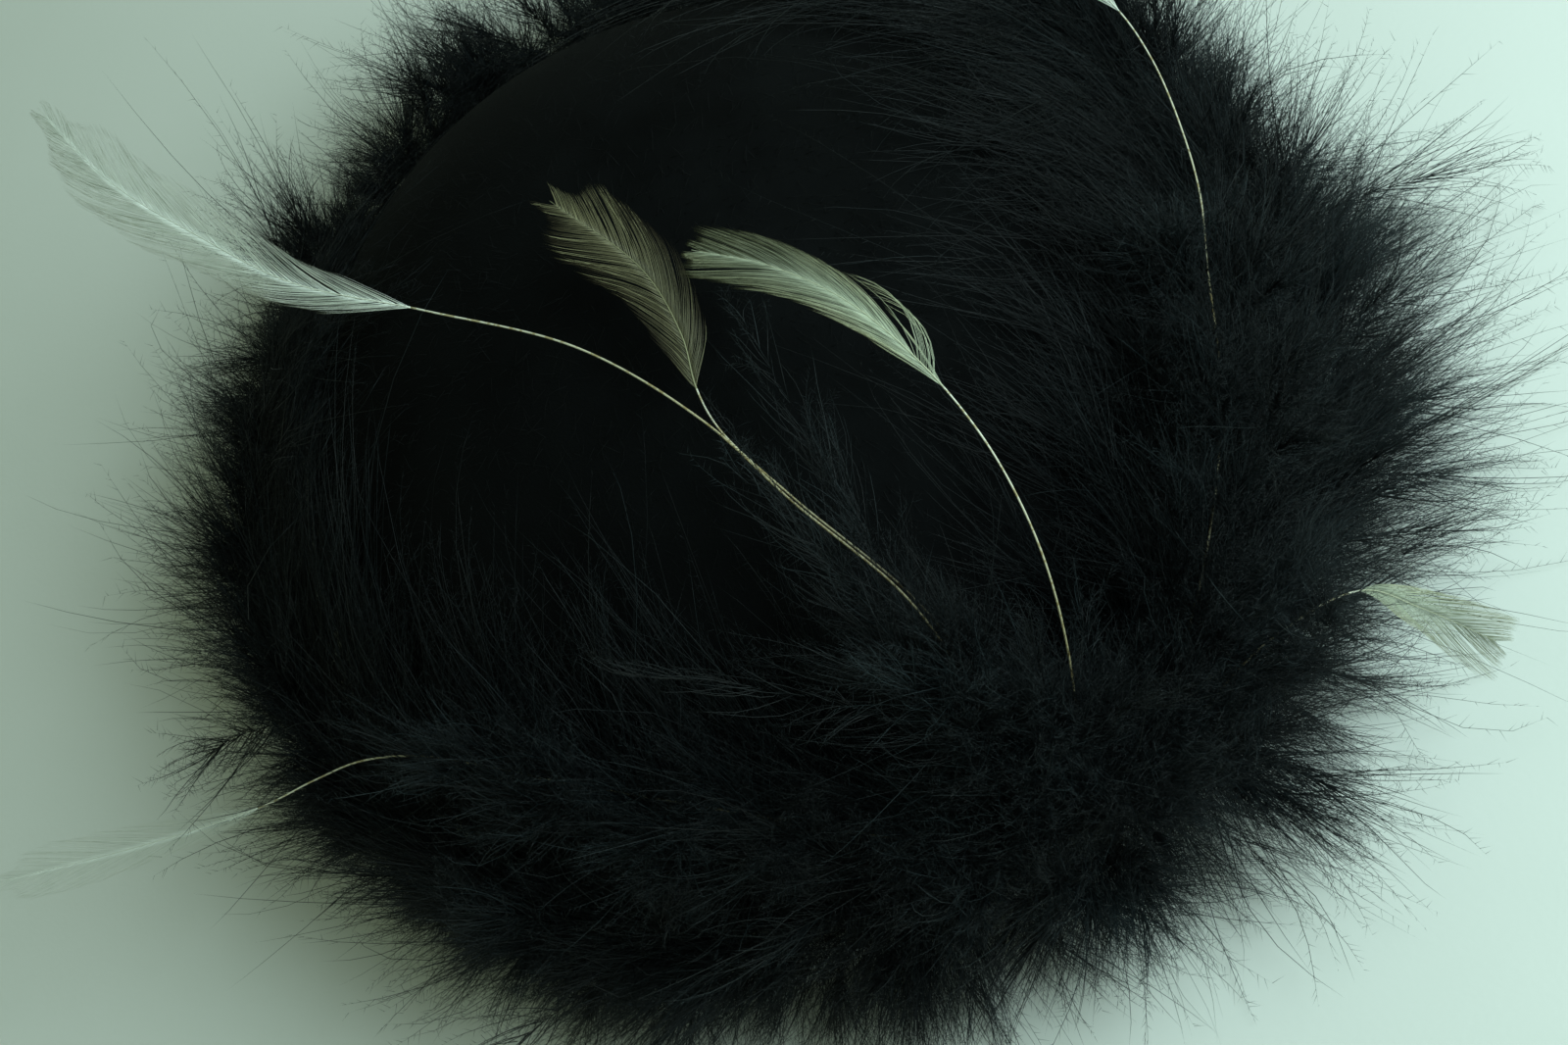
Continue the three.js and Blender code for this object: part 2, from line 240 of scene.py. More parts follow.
def down_material():
    m = Nodes("black_marabou")
    tone = m.attribute("tone").outputs["Fac"]
    patches = m.noise(35, 2)
    shade = m.maths("MULTIPLY", tone, m.maths("ADD", patches, 0.5))
    m.colour(
        m.ramp(
            shade,
            [(0.0, (0.0012, 0.0017, 0.002)), (0.5, (0.005, 0.0078, 0.0092)), (1.0, (0.023, 0.034, 0.038))],
        )
    )
    m.set(Roughness=0.48, Specular_IOR_Level=0.28)
    return m.material


def satin_material():
    m = Nodes("lining_satin")
    # Painted sheen: lighter and darker streaks in the satin's colour stand in for its lustre on the folds.
    painted_sheen = m.noise(25, 4, vector=m.stretched((1, 1, 0.3)))
    m.colour(m.ramp(painted_sheen, [(0.3, (0.006, 0.006, 0.008)), (0.8, (0.03, 0.03, 0.036))]))
    m.bump(m.noise(2500, 2, vector=m.stretched((1, 1, 3))), 0.3, 0.0001)
    m.set(Roughness=0.32, Anisotropic=0.5)
    return m.material


def grosgrain_material():
    m = Nodes("grosgrain")
    m.colour(m.ramp(m.noise(400, 4), [(0.3, (0.006, 0.0066, 0.008)), (0.75, (0.02, 0.021, 0.025))]))
    m.bump(m.noise(3000, 3), 0.4, 0.0001)
    m.set(Roughness=0.7)
    return m.material


def thread_material(name, dark, light):
    m = Nodes(name)
    m.colour(m.ramp(m.noise(900, 3, vector=m.stretched((1, 1, 2))), [(0.3, dark), (0.8, light)]))
    m.bump(m.noise(5000, 2), 0.4, 0.0001)
    m.set(Roughness=0.55)
    return m.material


def wire_material():
    m = Nodes("millinery_wire")
    drawn = m.noise(700, 4, vector=m.stretched((1, 1, 6)))
    m.colour(m.ramp(drawn, [(0.2, (0.32, 0.32, 0.33)), (0.8, (0.58, 0.58, 0.6))]))
    m.link(m.ramp(drawn, [(0.0, (0.25,) * 3), (1.0, (0.45,) * 3)]), m.shader.inputs["Roughness"])
    m.set(Metallic=1.0)
    return m.material


def tape_material():
    m = Nodes("florist_tape")
    m.colour(m.ramp(m.noise(300, 5), [(0.3, (0.006, 0.008, 0.006)), (0.8, (0.026, 0.03, 0.022))]))
    m.bump(m.noise(1500, 4), 0.5, 0.0002)
    m.set(Roughness=0.6)
    return m.material


def quill_material():
    m = Nodes("ivory_quill")
    tone = m.attribute("tone").outputs["Fac"]
    mottle = m.noise(900, 3, 0.7)
    speck = m.maths("MULTIPLY", m.maths("GREATER_THAN", mottle, 0.54), 0.55)
    base = m.ramp(tone, [(0.0, (0.07, 0.055, 0.03)), (0.4, (0.4, 0.35, 0.2)), (1.0, (0.78, 0.77, 0.64))])
    spots = m.ramp(speck, [(0.0, (1, 1, 1)), (0.5, (0.62, 0.54, 0.38))])
    m.colour(m.multiplied(base, spots))
    m.set(Roughness=0.35)
    return m.material


def barb_material(name, roughness):
    m = Nodes(name)
    tint = m.attribute("tint").outputs["Color"]
    streaks = m.ramp(m.noise(260, 3), [(0.25, (0.78, 0.8, 0.78)), (0.75, (1.0, 1.0, 1.0))])
    m.colour(m.multiplied(tint, streaks))
    m.set(Roughness=roughness, Specular_IOR_Level=0.35)
    return m.material


def floor_material():
    m = Nodes("pale_floor")
    m.colour(m.ramp(m.noise(9, 4), [(0.3, (0.74, 0.77, 0.72)), (0.8, (0.8, 0.82, 0.78))]))
    m.bump(m.noise(900, 2), 0.15, 0.0002)
    m.set(Roughness=0.9)
    return m.material


MATERIALS = {
    "black_felt": felt_material(),
    "felt_nap": nap_material(),
    "black_marabou": down_material(),
    "lining_satin": satin_material(),
    "grosgrain": grosgrain_material(),
    "millinery_wire": wire_material(),
    "black_cord": thread_material("black_cord", (0.004, 0.0045, 0.005), (0.02, 0.021, 0.022)),
    "black_thread": thread_material("black_thread", (0.005, 0.005, 0.006), (0.026, 0.026, 0.028)),
    "florist_tape": tape_material(),
    "ivory_quill": quill_material(),
    "white_vane": barb_material("white_vane", 0.5),
    "grey_vane": barb_material("grey_vane", 0.45),
    "cream_vane": barb_material("cream_vane", 0.5),
}


# ---- Mesh building ----


def mesh_piece(name, geometry, material, replaced=(), attributes=(), body="hat"):
    """One piece of the object. Its geometry is vertices in millimetres, quads and triangles.

    attributes are (name, values) with a value or a colour for each vertex."""
    vertices, quads, triangles = geometry
    quads = np.asarray(quads, np.int32).reshape(-1, 4)
    triangles = np.asarray(triangles, np.int32).reshape(-1, 3)
    mesh = bpy.data.meshes.new(name)
    mesh.vertices.add(len(vertices))
    mesh.vertices.foreach_set("co", metres(vertices).astype(np.float32).ravel())
    loops = np.concatenate([quads.ravel(), triangles.ravel()])
    mesh.loops.add(len(loops))
    mesh.loops.foreach_set("vertex_index", loops)
    quad_starts = np.arange(len(quads)) * 4
    triangle_starts = len(quads) * 4 + np.arange(len(triangles)) * 3
    mesh.polygons.add(len(quads) + len(triangles))
    mesh.polygons.foreach_set("loop_start", np.concatenate([quad_starts, triangle_starts]).astype(np.int32))
    mesh.update(calc_edges=True)
    mesh.polygons.foreach_set("use_smooth", np.ones(len(mesh.polygons), bool))
    for key, values in attributes:
        values = np.asarray(values, np.float32)
        kind = "FLOAT" if values.ndim == 1 else "FLOAT_COLOR"
        layer = mesh.attributes.new(key, kind, "POINT")
        layer.data.foreach_set("value" if values.ndim == 1 else "color", values.ravel())
    mesh.materials.append(MATERIALS[material])
    piece = bpy.data.objects.new(name, mesh)
    bpy.context.scene.collection.objects.link(piece)
    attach(piece, body)
    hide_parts(*replaced)


def grid_faces(rows, columns, first=0, close_rows=False):
    """Quads over a grid of rows that each close on themselves."""
    row = np.arange(rows if close_rows else rows - 1)[:, None]
    column = np.arange(columns)[None, :]
    a = row * columns + column
    b = row * columns + (column + 1) % columns
    c = ((row + 1) % rows) * columns + (column + 1) % columns
    d = ((row + 1) % rows) * columns + column
    return first + np.stack([a, b, c, d], axis=-1).reshape(-1, 4)


def capped_grid(grid):
    """Vertices, quads and triangles of a tube of rings closed by a point at each end."""
    rows, columns, _ = grid.shape
    ends = np.stack([grid[0].mean(0), grid[-1].mean(0)])
    vertices = np.concatenate([grid.reshape(-1, 3), ends])
    quads = grid_faces(rows, columns)
    column = np.arange(columns)
    following = (column + 1) % columns
    low = np.stack([np.full(columns, rows * columns), following, column], axis=-1)
    last = (rows - 1) * columns
    high = np.stack([np.full(columns, rows * columns + 1), last + column, last + following], axis=-1)
    return vertices, quads, np.concatenate([low, high])


def joined(parts):
    """Several (vertices, quads, triangles) as one."""
    vertices, quads, triangles, first = [], [], [], 0
    for v, q, t in parts:
        vertices.append(v)
        quads.append(np.asarray(q, int).reshape(-1, 4) + first)
        triangles.append(np.asarray(t, int).reshape(-1, 3) + first)
        first += len(v)
    return np.concatenate(vertices), np.concatenate(quads), np.concatenate(triangles)


def distances_along(path):
    """How far each point of a line is from its start, along the line."""
    return np.concatenate([[0], np.cumsum(np.linalg.norm(np.diff(path, axis=0), axis=1))])


def cross_frames(path):
    """Unit vectors along, across and through a path, without twist."""
    along = unit(np.gradient(path, axis=0))
    across = np.empty_like(path)
    start = np.cross(along[0], [0.0, 0.0, 1.0])
    if np.linalg.norm(start) < 0.1:
        start = np.cross(along[0], [1.0, 0.0, 0.0])
    across[0] = unit(start)
    for i in range(1, len(path)):
        step = across[i - 1] - along[i] * (across[i - 1] @ along[i])
        across[i] = unit(step)
    return along, across, np.cross(along, across)


def tube(path, radii, sides=8):
    """A closed round tube along a path."""
    along, across, through = cross_frames(path)
    turn = np.linspace(0, 2 * math.pi, sides, endpoint=False)
    radii = np.broadcast_to(radii, (len(path),))[:, None, None]
    ring = across[:, None] * np.cos(turn)[None, :, None] + through[:, None] * np.sin(turn)[None, :, None]
    return capped_grid(path[:, None] + radii * ring)


def twisted_plies(path, offset, radius, pitch, sides=7):
    """Two plies that wind round each other along a path, as in twisted thread or cord."""
    along, across, through = cross_frames(path)
    run = distances_along(path)
    parts = []
    for ply in (0, 0.5):
        turn = 2 * math.pi * (run / pitch + ply)
        centre = path + offset * (np.cos(turn)[:, None] * across + np.sin(turn)[:, None] * through)
        parts.append(tube(centre, radius, sides))
    return joined(parts)


def resampled(path, count):
    """The same line through evenly spaced points."""
    run = distances_along(path)
    at = np.linspace(0, run[-1], count)
    return np.stack([np.interp(at, run, path[:, k]) for k in range(3)], axis=1)


def smooth_curve(points, count):
    """A centripetal Catmull-Rom curve through the points, as evenly spaced points."""
    points = np.asarray(points, float)
    points = np.concatenate([[2 * points[0] - points[1]], points, [2 * points[-1] - points[-2]]])
    pieces = []
    for p0, p1, p2, p3 in zip(points, points[1:], points[2:], points[3:]):
        knots = np.cumsum([0, *(np.linalg.norm(b - a) ** 0.5 for a, b in ((p0, p1), (p1, p2), (p2, p3)))])
        t = np.linspace(knots[1], knots[2], 24, endpoint=False)[:, None]
        a1 = mixed(p0, p1, (t - knots[0]) / (knots[1] - knots[0]))
        a2 = mixed(p1, p2, (t - knots[1]) / (knots[2] - knots[1]))
        a3 = mixed(p2, p3, (t - knots[2]) / (knots[3] - knots[2]))
        b1 = mixed(a1, a2, (t - knots[0]) / (knots[2] - knots[0]))
        b2 = mixed(a2, a3, (t - knots[1]) / (knots[3] - knots[1]))
        pieces.append(mixed(b1, b2, (t - knots[1]) / (knots[2] - knots[1])))
    return resampled(np.concatenate([*pieces, points[-2:-1]]), count)


# ---- Strands: down barbs, nap and vane barbs ----


def strand_geometry(paths, radii, flat=None, flatness=1.0):
    """Three-sided closed strands that taper to a point: vertices, quads and triangles.

    paths is (strands, points, 3) and radii (strands, points - 1). With flat, a unit vector for each point,
    the strands are ribbons whose thin way is along it."""
    count, points, _ = paths.shape
    along = unit(np.gradient(paths, axis=1))[:, :-1]
    if flat is None:
        seed = unit(np.cross(along[:, :1], [[[0.3, 0.5, 0.81]]]))
        across = unit(np.cross(along, seed))
        through = np.cross(along, across)
    else:
        across = unit(np.cross(flat[:, :-1], along))
        through = np.cross(along, across)
    body = paths[:, :-1]
    width = radii[..., None]
    ring = np.stack(
        [
            body + width * across,
            body + width * (-0.5 * across + 0.87 * flatness * through),
            body + width * (-0.5 * across - 0.87 * flatness * through),
        ],
        axis=2,
    )
    rings = points - 1
    per_strand = rings * 3 + 1
    vertices = np.concatenate([ring.reshape(count, rings * 3, 3), paths[:, -1:]], axis=1)
    quads = grid_faces(rings, 3)
    last = (rings - 1) * 3
    triangles = np.array([[0, 2, 1], *[[last + i, last + (i + 1) % 3, rings * 3] for i in range(3)]])
    first = (np.arange(count) * per_strand)[:, None, None]
    return (
        vertices.reshape(-1, 3),
        (quads[None] + first).reshape(-1, 4),
        (triangles[None] + first).reshape(-1, 3),
    )


def per_vertex(values):
    """Values for each strand's points, repeated for the three corners of each ring and the tip."""
    body = np.repeat(values[:, :-1], 3, axis=1)
    return np.concatenate([body, values[:, -1:]], axis=1).reshape(-1, *values.shape[2:])


def outside_crown(points, clearance):
    """Points moved smoothly out of the crown's dome, to about that clearance above it."""
    sharpness = 14
    radius = CROWN_RADIUS + clearance
    height = CROWN_HEIGHT + clearance
    across = (points[..., 0] ** 2 + points[..., 1] ** 2) / radius**2
    level = np.sqrt(across + np.maximum(points[..., 2], 0) ** 2 / height**2)
    level = np.maximum(level, 0.05)
    outside = (level**sharpness + 1) ** (1 / sharpness)
    return points * (outside / level)[..., None]


def above_surface(points):
    """Points kept above the surface that the hat stands on, without a kink."""
    softness = 1.5
    over = (points[..., 2] - LOWEST_DOWN) / softness
    raised = LOWEST_DOWN + softness * np.logaddexp(0, over)
    return np.concatenate([points[..., :2], raised[..., None]], axis=-1)


LOW_LIMIT = millimetres(CAD_BOX[0]) - ROOM
HIGH_LIMIT = millimetres(CAD_BOX[1]) + ROOM


def within_limits(paths):
    """Strands drawn back towards their roots where they would pass the object's outer limits."""
    roots = paths[:, :1]
    reach = paths - roots
    room = np.where(reach > 0, HIGH_LIMIT - roots, LOW_LIMIT - roots)
    reaching = np.abs(reach) > 1e-6
    share = np.where(reaching, room / np.where(reaching, reach, 1), np.inf)
    kept = np.clip(share.min(axis=(1, 2)), 0.1, 1)
    return roots + reach * kept[:, None, None]


def drawn_together(rng, paths, groups, strength):
    """Barbs drawn towards a few leading ones, so that they end in wisps."""
    leaders = rng.choice(len(paths), groups, replace=False)
    middle = paths[:, paths.shape[1] // 2]
    nearest = leaders[((middle[:, None] - middle[leaders][None]) ** 2).sum(-1).argmin(1)]
    along = np.linspace(0, 1, paths.shape[1])[None, :, None] ** 1.6
    pull = strength * rng.uniform(0.2, 1, (len(paths), 1, 1)) * along
    return paths + (paths[nearest] - paths) * pull


PLUME_BARBS = 70
BARB_POINTS = 6
BARB_TAPER = 0.75
# How many barbs end in one wisp, and how closely.
WISP_BARBS = 14
DRAWN = 0.4
# The way the shafts bend, and the share of barbs that stray beyond the rest.
DROOP = -0.1 * UP
STRAY_SHARE = 0.15
# Painted light and shade: how much paler the barbs are towards their lit outer tips than at their roots,
# which lie in the shade inside the down.
TIP_PAINTED_LIGHT = 0.4
# The barbs' angles to the shaft at its foot and at its tip, in degrees.
FOOT_SPREAD = 62
TIP_SPREAD = 16


def plume_barbs(rng, root, heading, shaft_length, barb_length, bend):
    """The barbs of one down plume as (barbs, points, 3): they leave a short soft shaft all round it."""
    barbs = PLUME_BARBS
    sideways = unit(np.cross(heading, rng.normal(size=3)))
    upright = np.cross(heading, sideways)
    bend = rng.normal(0, 0.2, 3) + bend
    start = rng.uniform(0.0, 1.0, barbs) ** 0.8
    base = root + shaft_length * (start[:, None] * heading + (start**2)[:, None] * bend)
    leaning = unit(heading + 2 * start[:, None] * bend)
    turn = rng.uniform(0, 2 * math.pi, barbs)[:, None]
    outward = np.cos(turn) * sideways + np.sin(turn) * upright
    spread = np.radians(mixed(FOOT_SPREAD, TIP_SPREAD, start) + rng.normal(0, 10, barbs))[:, None]
    first = np.cos(spread) * leaning + np.sin(spread) * outward
    length = barb_length * rng.uniform(0.5, 1.1, barbs) * (1 - 0.2 * start)
    stray = rng.random(barbs) < STRAY_SHARE
    length = length * np.where(stray, rng.uniform(1.3, 2.1, barbs), 1)
    along = np.linspace(0, 1, BARB_POINTS)[None, :, None]
    curl = rng.gamma(1.6, 0.45, (barbs, 1))
    arc = unit(np.cross(leaning, rng.normal(size=(barbs, 3)))) * curl
    ahead = leaning[:, None] * (0.75 * along)
    direction = unit(first[:, None] * (1 - 0.45 * along) + ahead + arc[:, None] * along**1.3)
    steps = direction[:, :-1] * (length / (BARB_POINTS - 1))[:, None, None]
    paths = np.concatenate([base[:, None], base[:, None] + np.cumsum(steps, axis=1)], axis=1)
    along = along[..., 0]
    waves = along * rng.uniform(0.5, 1.2, (barbs, 1)) + rng.random((barbs, 1))
    sway = np.sin(2 * math.pi * waves) * along * rng.uniform(0.1, 0.9, (barbs, 1))
    paths = paths + sway[..., None] * unit(rng.normal(size=(barbs, 1, 3)))
    return drawn_together(rng, paths, barbs // WISP_BARBS, DRAWN * rng.uniform(0.4, 1.6))


# The barbules on one barb, their thickness, and the share of barbs that have them.
BARBULES = 15
BARBULE_RADIUS = 0.035
FEATHERY_SHARE = 0.4


def barbule_geometry(rng, paths, tones):
    """The fine barbules that make some of the barbs fluffy: closed spikes with three sides and a base."""
    feathery = np.flatnonzero(rng.random(len(paths)) < FEATHERY_SHARE)
    barb = np.repeat(feathery, BARBULES)
    at = np.tile(np.linspace(0.3, 0.98, BARBULES), len(feathery)) + rng.normal(0, 0.01, len(barb))
    at = np.clip(at, 0, 0.999) * (BARB_POINTS - 1)
    low = at.astype(int)
    part = (at - low)[:, None]
    before, after = paths[barb, low], paths[barb, low + 1]
    foot = mixed(before, after, part)
    along = unit(after - before)
    across = unit(np.cross(along, rng.normal(size=(len(feathery), 3)).repeat(BARBULES, axis=0)))
    side = np.where(rng.random(len(barb)) < 0.5, 1.0, -1.0)[:, None]
    direction = unit(0.8 * along + side * across + rng.normal(0, 0.25, (len(barb), 3)))
    length = rng.uniform(0.8, 1.8, (len(barb), 1)) * mixed(2.2, 1.1, at[:, None] / BARB_POINTS)
    tip = foot + direction * length
    tip[:, 2] = np.maximum(tip[:, 2], LOWEST_DOWN)
    tip = np.clip(tip, LOW_LIMIT, HIGH_LIMIT)
    first = unit(np.cross(direction, along + 0.01))
    second = np.cross(direction, first)
    corners = [
        foot + BARBULE_RADIUS * (math.cos(turn) * first + math.sin(turn) * second)
        for turn in (0, 2 * math.pi / 3, 4 * math.pi / 3)
    ]
    vertices = np.stack([*corners, tip], axis=1).reshape(-1, 3)
    faces = np.array([[0, 2, 1], [0, 1, 3], [1, 2, 3], [2, 0, 3]])
    triangles = (faces[None] + (np.arange(len(barb)) * 4)[:, None, None]).reshape(-1, 3)
    # Painted light: the barbules are made paler the further out along their barbs they sit.
    tone = np.repeat(np.clip(tones[barb] + TIP_PAINTED_LIGHT * at / BARB_POINTS, 0, 1), 4)
    return (vertices, [], triangles), tone


# The hackle whose vane lies on the down, the room under it, how far round it the down is pressed, and over
# what width that fades.
PRESSING_HACKLE = 4
VANE_ROOM = 4.5
PRESSED_WIDTH = 10
PRESSED_EDGE = 4


def pressed_by_vane(paths):
    """Barbs pressed down smoothly where the low vane lies over them, with room for its nod."""
    hackle = HACKLES[PRESSING_HACKLE - 1]
    outer_half = smooth_curve(hackle["route"], 400)[-200:]
    line = resampled(outer_half, 30)
    offset = paths[:, :, None] - line
    apart = (offset[..., :2] ** 2).sum(-1)
    nearest = apart.argmin(-1)
    away = np.sqrt(apart.min(-1))
    ceiling = line[nearest, 2] - VANE_ROOM
    over = np.maximum(paths[..., 2] - ceiling, 0) * smooth_step((PRESSED_WIDTH - away) / PRESSED_EDGE)
    return paths - over[..., None] * UP


def down_piece(name, rng, paths, plume_tones, node):
    """A piece of down from all its barbs."""
    paths = outside_crown(paths, rng.uniform(0.6, 6.0, (len(paths), 1)))
    paths = pressed_by_vane(paths)
    paths = above_surface(paths)
    paths = within_limits(paths)
    along = np.linspace(0, 1, BARB_POINTS)[None]
    thickness = rng.uniform(0.05, 0.1, (len(paths), 1))
    radii = thickness * (1 - BARB_TAPER * along[:, :-1])
    # The tone is each plume's own random shade plus painted light that makes the barbs paler towards their
    # tips.
    tone = plume_tones[:, None] + TIP_PAINTED_LIGHT * along + rng.normal(0, 0.12, (len(paths), 1))
    tone = np.clip(tone, 0, 1)
    fluff, fluff_tone = barbule_geometry(rng, paths, plume_tones)
    geometry = joined([strand_geometry(paths, radii), fluff])
    tones = np.concatenate([per_vertex(tone), fluff_tone])
    mesh_piece(name, geometry, "black_marabou", [node], [("tone", tones)])


# ---- The hat's shell ----

SHELL_COLUMNS = 192


def dome_grid(inset, low_z, rows, columns):
    """Points over a dome from its edge up, less its top, with their angles round the hat and their rises."""
    height = CROWN_HEIGHT - inset
    rise = np.linspace(math.asin(low_z / height), math.pi / 2, rows + 1)[:-1]
    turn = np.linspace(0, 360, columns, endpoint=False)
    radius = (CROWN_RADIUS - inset) * np.cos(rise)
    return around_hat(radius[:, None], turn[None, :], (height * np.sin(rise))[:, None]), turn, rise


def dome_shell_geometry(outer, inner):
    """A closed shell from its outer and inner grids, which both start at the open edge."""
    return capped_grid(np.concatenate([inner[::-1], outer]))


def with_slow_waves(grid, amplitude, seed):
    """A grid moved in and out a little by a few slow waves."""
    rng = np.random.default_rng(seed)
    waves = 7
    total = np.zeros(grid.shape[:2])
    for _ in range(waves):
        wave = rng.normal(0, 0.05, 3)
        total += np.sin(grid @ wave + rng.uniform(0, 6.3))
    return grid + unit(grid) * (amplitude * total / waves)[..., None]


def make_felt_crown():
    """The felt dome, a little uneven outside, from inside the ribbon's fold up."""
    edge_z = 2.8
    outer, _, _ = dome_grid(0, edge_z, 56, SHELL_COLUMNS)
    inner, _, _ = dome_grid(FELT, edge_z, 40, SHELL_COLUMNS)
    outer = with_slow_waves(outer, 0.45, 11)
    mesh_piece("crown_felt", dome_shell_geometry(outer, inner), "black_felt", ["felt_crown"])


def make_nap():
    """Short fibres that lie over the felt."""
    rng = np.random.default_rng(21)
    count = 9000
    share = rng.uniform(0.0, 0.995, count)
    z = CROWN_HEIGHT * share
    turn = rng.uniform(0, 360, count)
    root = around_hat(dome_radius(z), turn, z)
    normal = unit(root / np.array([CROWN_RADIUS**2, CROWN_RADIUS**2, CROWN_HEIGHT**2]))
    downhill = unit(np.cross(np.cross([0.0, 0.0, -1.0], normal), normal) * -1 + 1e-4)
    lying = unit(downhill * 0.8 + rng.normal(0, 0.6, (count, 3)))
    lying = unit(lying - normal * (lying * normal).sum(-1, keepdims=True))
    along = np.linspace(0, 1, 4)[None, :, None]
    length = rng.uniform(1.5, 4.5, (count, 1, 1))
    lift = rng.uniform(0.1, 0.5, (count, 1, 1))
    paths = root[:, None] + lying[:, None] * length * along + normal[:, None] * (length * lift * along**0.8)
    paths = paths + rng.normal(0, 0.15, paths.shape) * along
    radii = np.full((count, 3), 0.035) * np.array([[1.0, 0.8, 0.45]])
    tone = rng.uniform(0, 1, (count, 1)) * np.array([[0.6, 0.8, 0.9, 1.0]])
    geometry = strand_geometry(above_surface(paths), radii)
    mesh_piece("felt_nap", geometry, "felt_nap", attributes=[("tone", per_vertex(tone))])


def make_lining():
    """A gathered satin lining."""
    columns = 360
    rows = 36
    edge_z = 10
    outer, turn, rise = dome_grid(LINING_INSET, edge_z, rows, columns)
    inner, _, _ = dome_grid(LINING_INSET + LINING, edge_z, rows, columns)
    gathers = np.sin(np.radians(turn) * 44) + 0.5 * np.sin(np.radians(turn) * 97 + 1.3)
    depth = 0.2 + 0.45 * smooth_step((rise - 0.35) / 0.5) * smooth_step((1.5 - rise) / 0.3)
    pull = (depth[:, None] * (1 + gathers[None] * 0.6))[..., None]
    inward = -unit(outer)
    geometry = dome_shell_geometry(outer + inward * pull * 0.6, inner + inward * pull)
    mesh_piece("gathered_lining", geometry, "lining_satin", ["crown_lining"])


RIBBON_COLUMNS = 1400


def closed_band(profile, columns, ripple):
    """A closed band round the hat from a closed profile of (radius, z), with a ripple for each column."""
    turn = np.linspace(0, 360, columns, endpoint=False)
    profile = np.asarray(profile, float)
    radius = profile[:, 0][:, None] + ripple[None, :]
    grid = around_hat(radius, turn[None, :], profile[:, 1][:, None])
    return grid.reshape(-1, 3), grid_faces(len(profile), columns, close_rows=True), []


def ribs(columns, depth):
    """Alternate columns in and out, as the ribs of grosgrain ribbon."""
    return np.where(np.arange(columns) % 2 == 0, depth, -depth)


def make_sweatband():
    """Grosgrain ribbon that stands round the inside of the crown's mouth."""
    heights = np.linspace(2, 22, 9)
    outside = np.stack([dome_radius(heights, BAND_INSET) - 0.1, heights], axis=1)
    inside = np.stack([dome_radius(heights, BAND_INSET + BAND), heights], axis=1)[::-1]
    profile = np.concatenate([outside, inside])[::-1]
    band = closed_band(profile, RIBBON_COLUMNS, ribs(RIBBON_COLUMNS, 0.06))
    mesh_piece("ribbed_sweatband", band, "grosgrain", ["sweatband"])


def make_edge_binding():
    """Ribbon folded round the felt's edge, with a rounded fold."""
    outer = CROWN_RADIUS + 1.0
    inner = float(dome_radius(8, FELT)) - 1.0
    fold = np.linspace(math.pi, 2 * math.pi, 9)
    corner = 1.2
    across = (0.0, 0.6, 0.6, 0.6, 1.4)
    heights = (8.0, 8.0, 4.5, 1.8, 0.7)
    outside = [[outer - depth, z] for depth, z in zip(across, heights)]
    inside = [[inner + depth, z] for depth, z in zip(across, heights)][::-1]
    down_inside = [[inner + corner * (1 + math.cos(a)), corner * (1 + math.sin(a))] for a in fold[:5]]
    up_outside = [[outer - corner * (1 - math.cos(a)), corner * (1 + math.sin(a))] for a in fold[4:]]
    profile = outside + inside + [[inner, 5.0]] + down_inside + up_outside + [[outer, 5.0]]
    band = closed_band(profile, RIBBON_COLUMNS, ribs(RIBBON_COLUMNS, 0.05))
    mesh_piece("ribbed_binding", band, "grosgrain", ["edge_binding"])


def finish_edge_wire():
    """The wire keeps its own solid, and has its material put on it here."""
    materials = frame["nodes"]["edge_wire"].data.materials
    materials.clear()
    materials.append(MATERIALS["millinery_wire"])


# ---- The boa ----

MARABOU = sorted(name for name in frame["nodes"] if name.startswith("marabou_") and name[-2:].isdigit())


def angle_of(node):
    """The angle round the hat of a node's middle, from the front, in degrees."""
    x, y, _ = millimetres([vertex.co for vertex in frame["nodes"][node].data.vertices]).mean(0)
    return math.degrees(math.atan2(x, -y))


def turned_by(angle):
    """The same angle as one from -180 to 180 degrees."""
    return (angle + 180) % 360 - 180


PLAIN_REACH = 103
# Where the down stands out further or less far: the middle angle, the half width and the difference.
REACH_CHANGES = ((42, 38, 23), (-8, 40, 6), (-112, 62, -7))


def reach_of(angle):
    """How far the dense down stands out from the crown's axis."""
    reach = PLAIN_REACH
    for middle, half_width, change in REACH_CHANGES:
        offset = turned_by(angle - middle) / half_width
        reach = reach + change * np.exp(-offset * offset)
    return reach


def away_from_front(angle):
    """How far the plumes lie over, away from the spray, in degrees from straight out."""
    turned = abs(turned_by(angle))
    most = 52
    less_at_back = 1 - 0.75 * float(smooth_step((turned - 60) / 110))
    return most * float(smooth_step(turned / 35)) * less_at_back


def plume_heading(angle, tilt, rise, inward):
    """A plume's direction from its place round the hat, its tilt along the boa and its rise, in degrees."""
    side = 1 if turned_by(angle) >= 0 else -1
    onward = np.array([math.cos(math.radians(angle)), math.sin(math.radians(angle)), 0.0]) * side
    tilt = math.radians(tilt)
    rise = math.radians(rise)
    level = unit(straight_out(angle) * (math.cos(tilt) - inward) + onward * math.sin(tilt))
    return level * math.cos(rise) + UP * math.sin(rise)


